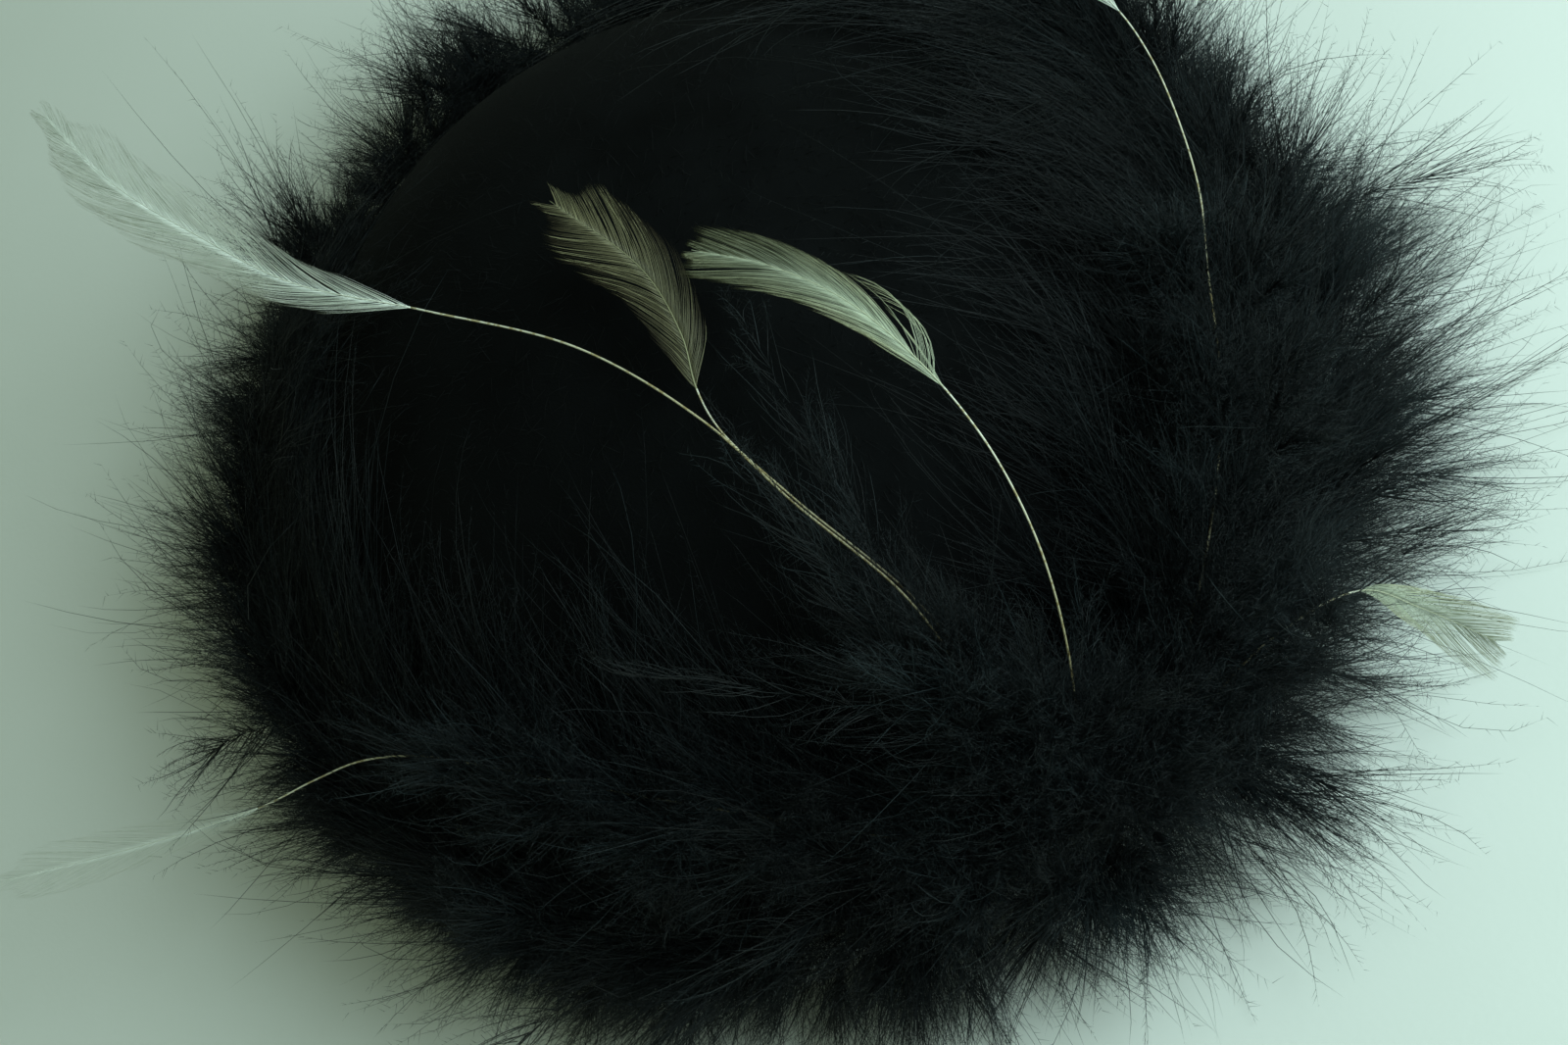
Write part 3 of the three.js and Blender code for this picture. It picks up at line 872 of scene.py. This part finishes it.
class Plumes:
    """The barbs of many plumes, gathered for one piece."""

    def __init__(self, seed):
        self.rng = np.random.default_rng(seed)
        self.paths = []
        self.tones = []

    def add(self, root, heading, shaft, barb, tone, bend=DROOP):
        """One plume, from the lengths of its shaft and barbs and its shade from 0, black, to 1."""
        heading = unit(np.asarray(heading, float))
        self.paths.append(plume_barbs(self.rng, root, heading, shaft, barb, bend))
        self.tones.append(np.full(PLUME_BARBS, tone))

    def add_random(self, root, heading, shaft, barb, sizes, tones, bend=DROOP):
        """One plume whose size and shade are drawn from ranges."""
        size = self.rng.uniform(*sizes)
        self.add(root, heading, shaft * size, barb * size, self.rng.uniform(*tones), bend)

    def piece(self, name, node):
        """All the plumes as one piece of down that shows in place of that node."""
        down_piece(name, self.rng, np.concatenate(self.paths), np.concatenate(self.tones), node)


def flank_share(angle):
    """How much of the down lies over the crown's flank at that angle: none at the back."""
    turned = turned_by(angle)
    end = 132 if turned > 0 else 135
    return float(smooth_step((end - abs(turned)) / 35))


# A family of plumes: how many in each bunch, their least and most rise and their extra tilt along the boa in
# degrees, their lean towards the crown, the lengths of shaft and barbs, how far the shafts bend inwards, the
# palest tone, and how much painted light makes the family paler on the hat's right, where the key light
# falls.
Family = namedtuple("Family", "count least most extra lean shaft barb inward pale right_pale")
SKIRT = Family(29, -36, 26, 0, 0.0, 14, 22, 0.0, 0.5, 0.2)
COLLAR = Family(9, 52, 84, 10, 0.6, 8, 17, 0.3, 0.3, 0.0)
INNER = Family(13, -60, 50, 20, 2.2, 4, 12, 0.0, 0.2, 0.0)
CREST = Family(12, 22, 66, 8, 0.1, 15, 25, 0.0, 0.35, 0.0)
TALL_CREST = Family(9, 52, 84, -6, 0.25, 30, 22, 0.15, 0.3, 0.0)
OVERLAY = Family(24, 52, 76, 14, 1.0, 31, 30, 0.9, 0.22, 0.0)
BUNCH_HALF_ANGLE = 16
# How far to the right the painted light on the down reaches its full strength.
PAINTED_LIGHT_X = 80


def add_family(plumes, family, centre, share=1.0, reach=1.0):
    """A share of one family in the bunch at that angle. A greater reach makes the plumes longer."""
    rng = plumes.rng
    for _ in range(round(family.count * share)):
        angle = centre + rng.uniform(-BUNCH_HALF_ANGLE, BUNCH_HALF_ANGLE)
        tilt = away_from_front(angle) + family.extra + rng.normal(0, 15)
        heading = plume_heading(angle, tilt, rng.uniform(family.least, family.most), family.lean)
        root = around_hat(CORD_RING_RADIUS, angle, CORD_Z) + rng.normal(0, 1.0, 3)
        bend = -family.inward * straight_out(angle) + DROOP
        size = rng.uniform(0.75, 1.15)
        # Painted light: the down's tone is raised towards the hat's right, where the key light falls.
        painted_light_share = float(smooth_step(root[0] / PAINTED_LIGHT_X))
        tone = rng.uniform(0.0, family.pale) + family.right_pale * painted_light_share
        shaft = family.shaft * size * reach
        plumes.add(root, heading, shaft, family.barb * size * reach**0.5, tone, bend)


def make_marabou():
    """The down of each bunch on the boa: low outside, high over the boa, and flat on the crown's flank."""
    plain_length = 23
    for number, node in enumerate(MARABOU, start=1):
        bunch = f"down_{number:02d}"
        centre = angle_of(node)
        reach = (reach_of(centre) - CORD_RING_RADIUS) / plain_length
        flank = flank_share(centre)
        near_front = float(smooth_step((90 - abs(turned_by(centre))) / 35))
        low = Plumes(99 + number)
        add_family(low, SKIRT, centre, share=float(np.clip(reach, 1, 1.5)), reach=float(reach))
        low.piece(f"{bunch}_low", node)
        high = Plumes(139 + number)
        add_family(high, COLLAR, centre)
        add_family(high, INNER, centre)
        add_family(high, CREST, centre, share=0.4 + 0.6 * flank, reach=float(max(reach, 1)) ** 0.5)
        add_family(high, TALL_CREST, centre, share=near_front)
        high.piece(f"{bunch}_high", node)
        if flank > 0.05:
            flat = Plumes(179 + number)
            add_family(flat, OVERLAY, centre, share=flank)
            flat.piece(f"{bunch}_flank", node)


def point_within(rng, low, high):
    """A random point in a box."""
    return np.array([rng.uniform(a, b) for a, b in zip(low, high)])


def make_tuft_back():
    """The down behind the quills: plumes that burst up and sideways, and some that stand up among them."""
    plumes = Plumes(77)
    rng = plumes.rng
    for _ in range(18):
        root = point_within(rng, (-8, -91, 16), (8, -87, 28))
        heading = [rng.normal(0, 0.9), rng.uniform(-0.1, 0.5), rng.uniform(0.4, 1.0)]
        plumes.add_random(root, heading, 18, 23, (0.8, 1.15), (0.1, 0.6))
    for _ in range(11):
        root = point_within(rng, (-7, -93, 20), (3, -88, 30))
        heading = [rng.normal(-0.16, 0.2), rng.uniform(0.15, 0.45), 1.0]
        plumes.add_random(root, heading, 19, 23, (0.8, 1.15), (0.2, 0.65))
    plumes.piece("down_tuft_back", "marabou_tuft")


# The hackles that plumes are tied in beside, and the height up to which they hide the quill.
TIED_IN = ((1, 82), (2, 76), (3, 62))


def make_tuft_front():
    """The down before the quills: long plumes that lean along them, and short ones that fan out."""
    plumes = Plumes(78)
    rng = plumes.rng
    for number, aim in TIED_IN:
        line = smooth_curve(HACKLES[number - 1]["route"], 200)
        middle = line[np.argmax(line[:, 2] >= aim)]
        for _ in range(8):
            root = line[0] + np.array([rng.normal(0, 2), rng.uniform(-6, -2), rng.uniform(-4, 6)])
            toward = middle + np.array([0, -2, 7]) + rng.normal(0, 4, 3) - root
            shaft = np.linalg.norm(toward)
            plumes.add_random(root, toward, shaft, 17, (0.75, 1.05), (0.1, 0.5), (0, 0.1, -0.08))
    for _ in range(26):
        root = point_within(rng, (-9, -99, 12), (9, -92, 28))
        heading = [rng.normal(0, 0.9), rng.uniform(-0.9, 0.1), rng.uniform(-0.1, 0.9)]
        plumes.add_random(root, heading, 12, 21, (0.7, 1.1), (0.1, 0.65))
    plumes.piece("down_tuft_front", "marabou_tuft")


# The hackles that start out buried in the down: the feather, how far from the mount, and the node there.
BURIED = (
    (1, 30, "marabou_tuft"),
    (3, 17, "marabou_tuft"),
    (4, 88, "marabou_02"),
    (5, 36, "marabou_01"),
    (6, 82, "marabou_12"),
)
PLUME_SPACING = 1.9


def make_covering_down():
    """Plumes that lie over the buried ends of the quills."""
    for number, hidden, node in BURIED:
        plumes = Plumes(220 + number)
        rng = plumes.rng
        line = smooth_curve(HACKLES[number - 1]["route"], 400)
        travelled = distances_along(line)
        tangent = unit(np.gradient(line, axis=0))
        for distance in np.arange(-10, hidden, PLUME_SPACING):
            at = int(np.searchsorted(travelled, max(distance, 0)))
            side = unit(np.cross(tangent[at], UP))
            root = line[at] + side * rng.uniform(-6, 6) - UP * rng.uniform(0.5, 5)
            heading = 0.7 * tangent[at] + np.array([0, -0.3, 0.9]) + rng.normal(0, 0.35, 3)
            plumes.add_random(root, heading, 9, 19, (0.8, 1.15), (0.0, 0.45))
        plumes.piece(f"down_over_{number}", node)


def make_cord():
    """The two-ply cord that carries the down, open at the front."""
    ends = 3.2
    turn = np.linspace(ends, 360 - ends, 900)
    path = around_hat(CORD_RING_RADIUS, turn, CORD_Z)
    mesh_piece("twisted_cord", twisted_plies(path, 0.9, 0.95, 9.0), "black_cord", ["boa_cord"])


def make_whipping(side, node):
    """Thread wound tightly round one end of the cord."""
    length = 7.0
    middle = math.degrees(length / 2 / CORD_RING_RADIUS) + 3.7
    turns = 8
    share = np.linspace(0, 1, turns * 20)
    angle = side * (middle + math.degrees(length / CORD_RING_RADIUS) * (share - 0.5))
    centre = around_hat(CORD_RING_RADIUS, angle, CORD_Z)
    turn = (share * turns * 2 * math.pi)[:, None]
    coil = centre + 2.45 * (np.cos(turn) * straight_out(angle) + np.sin(turn) * UP)
    mesh_piece(f"{node}_thread", tube(coil, 0.42), "black_thread", [node])


def make_stitches():
    """The threads that hold the cord to the felt, each of two plies."""
    nodes = sorted(name for name in frame["nodes"] if name.startswith("boa_stitch_"))
    clear = CORD_RADIUS + 0.8
    off_felt = 0.9
    route = [
        [float(dome_radius(CORD_Z + clear)) + off_felt, CORD_Z + clear],
        [CORD_RING_RADIUS - 0.8, CORD_Z + clear],
        [CORD_RING_RADIUS + 0.7 * clear, CORD_Z + 0.7 * clear],
        [CORD_RING_RADIUS + clear, CORD_Z],
        [CORD_RING_RADIUS + 0.7 * clear, CORD_Z - 0.7 * clear],
        [CORD_RING_RADIUS - 0.8, CORD_Z - clear],
        [float(dome_radius(CORD_Z - clear)) + off_felt, CORD_Z - clear],
    ]
    parts = []
    for node in nodes:
        points = [around_hat(radius, angle_of(node), z) for radius, z in route]
        parts.append(twisted_plies(smooth_curve(points, 90), 0.2, 0.22, 2.2, sides=6))
    mesh_piece("boa_stitching", joined(parts), "black_thread", nodes)


# ---- The spray's mount ----


def make_pad():
    """An oval felt pad with rounded edges."""
    low, high = (millimetres(corner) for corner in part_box("spray_pad"))
    middle = (low + high) / 2
    half = (high - low) / 2
    turn = np.linspace(0, 2 * math.pi, 96, endpoint=False)
    round_over = np.linspace(-math.pi / 2, math.pi / 2, 11)
    rings = [(share, -1.0) for share in (0.3, 0.6, 0.85)]
    rings += [(0.955 + 0.045 * math.cos(a), math.sin(a)) for a in round_over]
    rings += [(share, 1.0) for share in (0.85, 0.6, 0.3)]
    grid = []
    for width, depth in rings:
        x = middle[0] + half[0] * width * np.cos(turn)
        y = np.full(len(turn), middle[1] + half[1] * depth * 0.98)
        z = middle[2] + half[2] * width * np.sin(turn)
        grid.append(np.stack([x, y, z], axis=-1))
    mesh_piece("felt_pad", capped_grid(np.array(grid[::-1])), "black_felt", ["spray_pad"])


BINDING_LOW_Z = 12.0
BINDING_HIGH_Z = 28.0
BUNDLE_HALF_WIDTH = 8.0
BUNDLE_HALF_DEPTH = 3.0


def bundle_points(turn, z, clearance):
    """Points on the wrapped bundle, which is flat and narrower at its foot. A turn of 1 is once round."""
    share = (z - BINDING_LOW_Z) / (BINDING_HIGH_Z - BINDING_LOW_Z)
    half_width = BUNDLE_HALF_WIDTH * mixed(0.6, 1.0, share)
    angle = 2 * math.pi * turn
    x = (half_width + clearance) * np.cos(angle)
    y = (BUNDLE_HALF_DEPTH + clearance) * np.sin(angle)
    return np.stack([x, SPRAY_Y + y, z * np.ones_like(x)], axis=-1)


def make_quill_binding():
    """The quill ends wrapped in tape, whose edges lie in a slanting coil."""
    turn = np.linspace(0, 1, 72, endpoint=False)
    heights = np.linspace(BINDING_LOW_Z, BINDING_HIGH_Z, 60)
    lap = 3.6
    rings = []
    for z in heights:
        coil = (z / lap + turn) % 1.0
        rings.append(bundle_points(turn, z, -0.1 - 0.35 * coil))
    mesh_piece("taped_quill_ends", capped_grid(np.array(rings)), "florist_tape", ["quill_binding"])


def make_binding_thread():
    """Thread wound three times round the tape."""
    turns = 3
    turn = np.linspace(0, turns, turns * 60)
    z = mixed(16.0, 25.0, turn / turns)
    thread = twisted_plies(bundle_points(turn, z, 0.5), 0.16, 0.17, 1.6, sides=6)
    mesh_piece("wound_thread", thread, "black_thread", ["binding_thread"])


# ---- The hackle feathers ----

# Each route runs from above the binding to the feather's tip, and the vane fills its last part. pitch is
# how far apart the barbs are on each side, barb is their radius, past_tip is how far the last ones pass the
# shaft's tip as a share of the vane, and bow is how far the loose loop of barbs stands out.
HACKLES = [
    {
        "route": [
            [-3, -92, 38], [-1.5, -87, 50], [1, -77.5, 62], [1.5, -68, 71], [-2.5, -52, 83], [-5, -37, 88],
            [-12, -18, 92], [-26, 3, 93], [-39, 23, 91], [-47, 44, 88], [-54, 67, 84], [-58, 95, 78],
        ],
        "vane": 98, "half_width": 5.6, "slot": "white_vane", "barb_angle": 11, "pitch": (0.34, 0.5),
        "barb": 0.045, "past_tip": 0.01,
    },
    {
        "route": [
            [-0.6, -92, 38], [0.8, -85, 48], [2.6, -75.5, 58], [2.2, -66, 67], [-2, -50, 79.5],
            [-4, -37, 84], [-3, -31, 86], [0, -24, 88], [1.5, -13, 90], [-2.5, 6.5, 90],
        ],
        "vane": 39, "half_width": 6.2, "slot": "grey_vane", "barb_angle": 23, "pitch": (0.26, 0.26),
        "barb": 0.05, "past_tip": 0.08,
    },
    {
        "route": [
            [3, -93, 38], [7, -91, 46], [12, -87, 55], [18, -79, 70], [21, -71, 78], [22.5, -62, 83],
            [22.4, -50.5, 87], [20, -38, 91], [15, -27.5, 93.5], [8.3, -18, 94],
        ],
        "vane": 41, "half_width": 4.0, "slot": "cream_vane", "barb_angle": 11, "pitch": (0.24, 0.3),
        "barb": 0.045, "past_tip": 0.03, "bow": 2.4,
    },
    {
        "route": [
            [7, -95, 35], [15, -94.5, 39.5], [30, -87, 43.5], [45, -75, 46], [57, -62, 48],
            [67, -47, 49.5], [73.5, -37.5, 50.5], [78.7, -26.5, 51], [83, -14, 51], [85, -2, 50.5],
            [84, 16, 50], [79, 37, 49], [69, 57, 47],
        ],
        "vane": 64, "half_width": 5.2, "slot": "white_vane", "barb_angle": 12, "pitch": (0.34, 0.4),
        "barb": 0.045, "past_tip": 0.02,
    },
    {
        "route": [
            [10, -95.5, 32], [21, -96, 37], [38, -94.5, 40], [52.8, -96.8, 38.5], [57.5, -103.3, 36],
            [62.9, -113.1, 32],
        ],
        "vane": 21, "half_width": 4.8, "slot": "cream_vane", "barb_angle": 20, "pitch": (0.22, 0.22),
        "barb": 0.05, "past_tip": 0.08,
    },
    {
        "route": [
            [-10, -92, 35], [-17, -87, 40.5], [-36, -67, 45], [-54, -46.5, 47], [-69.8, -28, 48],
            [-78, -21.5, 47], [-87, -16.5, 43], [-97, -12, 39], [-118, 0, 32], [-145, 16, 26],
        ],
        "vane": 56, "half_width": 4.6, "slot": "white_vane", "barb_angle": 12, "pitch": (0.7, 0.8),
        "barb": 0.04, "past_tip": 0.02,
    },
]
QUILL_FOOT_RADIUS = 0.231
QUILL_TIP_RADIUS = 0.1296
RACHIS_RADIUS = 0.135
RACHIS_TIP_RADIUS = 0.03
VANE_BARB_POINTS = 8
# How strongly each quill darkens from its vane down to the mount.
QUILL_FADE = (1.8, 4.5, 1.3, 1.7, 3.0, 2.2)


def hackle_line(number, hackle, count):
    """The feather's centreline from its hinge to its tip, as evenly spaced points."""
    joint = next(j for j in frame["joints"] if j["child"] == f"hackle_{number}")
    return smooth_curve([millimetres(joint["pos_m"]), *hackle["route"]], count)


RACHIS_TINT = {
    "white_vane": (0.86, 0.88, 0.78),
    "cream_vane": (0.55, 0.56, 0.4),
    "grey_vane": (0.3, 0.29, 0.17),
}
# The barbs' colours next to the shaft and at their tips.
VANE_COLOURS = {
    "white_vane": ((0.84, 0.88, 0.8), (0.9, 0.92, 0.84)),
    "cream_vane": ((0.58, 0.63, 0.48), (0.66, 0.66, 0.42)),
    "grey_vane": ((0.24, 0.22, 0.13), (0.05, 0.038, 0.02)),
}
GREY_STREAK = np.array([0.62, 0.58, 0.34])
GREY_TIP = np.array([0.46, 0.42, 0.24])
DARK_OLIVE = np.array([0.085, 0.09, 0.045])


def vane_tint(slot, rng, along, side, out):
    """The colour of barbs at a share along the vane, on one side of the shaft, out towards their tips."""
    shape = np.broadcast_shapes(along.shape, out.shape)
    own = rng.normal(0, 1, (shape[0], 1))
    out = out * np.ones(shape)
    inner, outer = (np.array(colour) for colour in VANE_COLOURS[slot])
    tint = mixed(inner, outer, smooth_step(out)[..., None]) * (1 + 0.08 * own)[..., None]
    if slot == "grey_vane":
        streak = (own > 1.1) * smooth_step((out - 0.2) / 0.5)
        tint = mixed(tint, GREY_STREAK, 0.9 * streak[..., None])
        pale_end = smooth_step((along - 0.62) / 0.3) * (side > 0) * (own > -0.6)
        tint = mixed(tint, GREY_TIP, 0.6 * pale_end[..., None])
    if slot == "cream_vane":
        olive = smooth_step((along - 0.3) / 0.5) * (0.92 if side > 0 else 0.7)
        olive = olive * (0.8 + 0.2 * np.sign(own))
        tint = mixed(tint, DARK_OLIVE, olive[..., None])
    return np.concatenate([np.clip(tint, 0, 1), np.ones((*shape, 1))], axis=-1)


def vane_side(rng, line, frames, hackle, side):
    """The barbs on one side of a vane: their geometry and tints."""
    length = hackle["vane"]
    pitch = hackle["pitch"][0 if side < 0 else 1]
    count = round(length / pitch)
    along, across, through = frames
    start = np.sort(np.clip(np.linspace(0.0, 0.96, count) + rng.normal(0, 0.002, count), 0, 0.98))
    bunch = np.cumsum(rng.random(count) < 0.08)
    swing = rng.normal(0, 0.07, bunch.max() + 1)[bunch]
    bunch_lift = rng.normal(0, 0.22, bunch.max() + 1)[bunch]
    rounded = 0.55 + 0.45 * np.sin(math.pi * np.minimum(start / 0.8, 1))
    width = hackle["half_width"] * rounded * (1 - 0.45 * smooth_step((start - 0.55) / 0.45))
    wanted = width / math.tan(math.radians(hackle["barb_angle"]))
    forward = np.minimum(wanted, (1 + hackle["past_tip"] - start) * length)
    width = width * (forward / wanted) ** 0.85 * (1 + swing + rng.normal(0, 0.035, count))
    share = np.linspace(0, 1, VANE_BARB_POINTS)[None]
    run = start[:, None] * length + forward[:, None] * share
    outward = width[:, None] * (1 - (1 - share) ** 1.22)
    if "bow" in hackle and side > 0:
        bowed = smooth_step((start - 0.03) / 0.01) * smooth_step((0.13 - start) / 0.01)
        outward = outward + hackle["bow"] * bowed[:, None] * np.sin(math.pi * share**0.9)
    lift = -0.05 * outward + bunch_lift[:, None] * share**2
    lift = lift + rng.normal(0, 0.1, (count, 1)) * share
    steps = len(line) - 1
    at = np.clip(run / length, 0, 1) * steps
    low = np.minimum(at.astype(int), steps - 1)
    part = (at - low)[..., None]

    def sample(values):
        return mixed(values[low], values[low + 1], part)

    past_end = np.maximum(run - length, 0)[..., None]
    centre = sample(line) + past_end * sample(along)
    paths = centre + side * outward[..., None] * sample(across) + lift[..., None] * sample(through)
    paths = paths + rng.normal(0, 0.04, paths.shape) * share[..., None]
    thickness = hackle["barb"] * rng.uniform(0.8, 1.2, (count, 1))
    radii = thickness * (1 - 0.72 * share[:, :-1] ** 1.3)
    geometry = strand_geometry(paths, radii, unit(sample(through)), 0.35)
    tint = vane_tint(hackle["slot"], rng, run / length, side, share)
    return geometry, per_vertex(tint)


def level_frames(line):
    """Unit vectors along a feather, level across it, and through it."""
    along = unit(np.gradient(line, axis=0))
    across = unit(np.cross(along, UP))
    return along, across, np.cross(across, along)


def make_shaft(number, line):
    """A stripped quill, faintly knotted, which darkens towards the mount."""
    sides = 10
    share = np.linspace(0, 1, len(line))
    knots = 1 + 0.05 * np.sin(share * 90 + number) * np.sin(share * 37)
    radii = mixed(QUILL_FOOT_RADIUS, QUILL_TIP_RADIUS, share**0.7) * knots
    tone = np.concatenate([np.repeat(share ** QUILL_FADE[number - 1], sides), [0, 1]])
    body = f"hackle_{number}"
    geometry = tube(line, radii, sides)
    mesh_piece(f"{body}_shaft", geometry, "ivory_quill", [f"{body}_quill"], [("tone", tone)], body)


def make_vane(number, hackle, line):
    """The barbs on both sides of the shaft's last part, which tapers to the tip."""
    rng = np.random.default_rng(300 + number)
    frames = level_frames(line)
    share = np.linspace(0, 1, len(line))
    rachis = tube(line, mixed(RACHIS_RADIUS, RACHIS_TIP_RADIUS, share**0.6))
    parts = [rachis]
    tints = [np.tile([*RACHIS_TINT[hackle["slot"]], 1.0], (len(rachis[0]), 1))]
    for side in (-1, 1):
        geometry, tint = vane_side(rng, line, frames, hackle, side)
        parts.append(geometry)
        tints.append(tint)
    body = f"hackle_{number}"
    tints = [("tint", np.concatenate(tints))]
    mesh_piece(f"{body}_barbs", joined(parts), hackle["slot"], [f"{body}_vane"], tints, body)


def make_hackle(number, hackle):
    """One feather: a stripped quill up to its vane, and the vane."""
    samples = 400
    line = hackle_line(number, hackle, samples)
    length = distances_along(line)[-1]
    vane_start = round((1 - hackle["vane"] / length) * (samples - 1))
    make_shaft(number, resampled(line[: vane_start + 1], 160))
    make_vane(number, hackle, resampled(line[vane_start:], 120))


# ---- Stage, light and camera ----

CAMERA_ELEVATION = math.radians(62)
CAMERA_ROLL = math.radians(38.7)
CAMERA_DISTANCE = 0.430
CAMERA_RIGHT = 0.0015
CAMERA_DOWN = 0.0100
CAMERA_LENS = 56.9


def camera_axes():
    """The camera's right, up and viewing directions."""
    view = np.array([0, math.cos(CAMERA_ELEVATION), -math.sin(CAMERA_ELEVATION)])
    upright = np.array([0, math.sin(CAMERA_ELEVATION), math.cos(CAMERA_ELEVATION)])
    sideways = np.array([1.0, 0, 0])
    right = math.cos(CAMERA_ROLL) * sideways - math.sin(CAMERA_ROLL) * upright
    up = math.sin(CAMERA_ROLL) * sideways + math.cos(CAMERA_ROLL) * upright
    return right, up, view


def make_camera():
    """The camera at the photograph's angle."""
    right, up, view = camera_axes()
    data = bpy.data.cameras.new("camera")
    data.lens = CAMERA_LENS
    data.sensor_width = 36
    data.clip_start = 0.01
    camera = bpy.data.objects.new("camera", data)
    place = AXIS - view * CAMERA_DISTANCE + right * CAMERA_RIGHT - up * CAMERA_DOWN
    matrix = np.eye(4)
    matrix[:3, 0], matrix[:3, 1], matrix[:3, 2], matrix[:3, 3] = right, up, -view, place
    camera.matrix_world = Matrix(matrix.tolist())
    bpy.context.scene.collection.objects.link(camera)
    bpy.context.scene.camera = camera


def area_light(name, place, target, size, energy, colour):
    """A square soft light that faces its target."""
    data = bpy.data.lights.new(name, "AREA")
    data.size = size
    data.energy = energy
    data.color = colour
    light = bpy.data.objects.new(name, data)
    direction = np.array(target) - np.array(place)
    light.location = place
    light.rotation_mode = "QUATERNION"
    light.rotation_quaternion = Vector(direction).to_track_quat("-Z", "Y")
    bpy.context.scene.collection.objects.link(light)


def make_lights():
    """A cool key light from the right, a weak yellowish fill from the left, and a greenish surround."""
    right, _, _ = camera_axes()
    level_right = unit(np.array([right[0], right[1], 0]))
    key = AXIS + level_right * 0.42 + UP * 0.42
    area_light("key_light", key, AXIS + UP * 0.03, 0.5, 3.9, (0.76, 0.99, 1.0))
    fill = AXIS - level_right * 0.5 + np.array([0, 0.2, 0.9])
    area_light("fill_light", fill, AXIS, 0.8, 0.15, (0.86, 1.0, 0.7))
    world = bpy.data.worlds.new("studio")
    world.use_nodes = True
    background = world.node_tree.nodes["Background"]
    background.inputs["Color"].default_value = (0.8, 1.0, 0.66, 1)
    background.inputs["Strength"].default_value = 0.19
    bpy.context.scene.world = world
    bpy.context.scene.view_settings.view_transform = "Standard"


def make_floor():
    """A wide, flat, pale floor just under the hat, in metres."""
    half = 3.2
    z = -0.0002
    mesh = bpy.data.meshes.new("floor")
    corners = [(-half, -half, z), (half, -half, z), (half, half, z), (-half, half, z)]
    mesh.from_pydata(corners, [], [(0, 1, 2, 3)])
    mesh.materials.append(floor_material())
    floor = bpy.data.objects.new("floor", mesh)
    bpy.context.scene.collection.objects.link(floor)


# ---- The scene ----

make_felt_crown()
make_nap()
make_lining()
make_sweatband()
make_edge_binding()
finish_edge_wire()
make_cord()
make_whipping(1, "cord_whipping_right")
make_whipping(-1, "cord_whipping_left")
make_stitches()
make_marabou()
make_tuft_back()
make_tuft_front()
make_covering_down()
make_pad()
make_quill_binding()
make_binding_thread()
for number, hackle in enumerate(HACKLES, start=1):
    make_hackle(number, hackle)
make_floor()
make_lights()
make_camera()
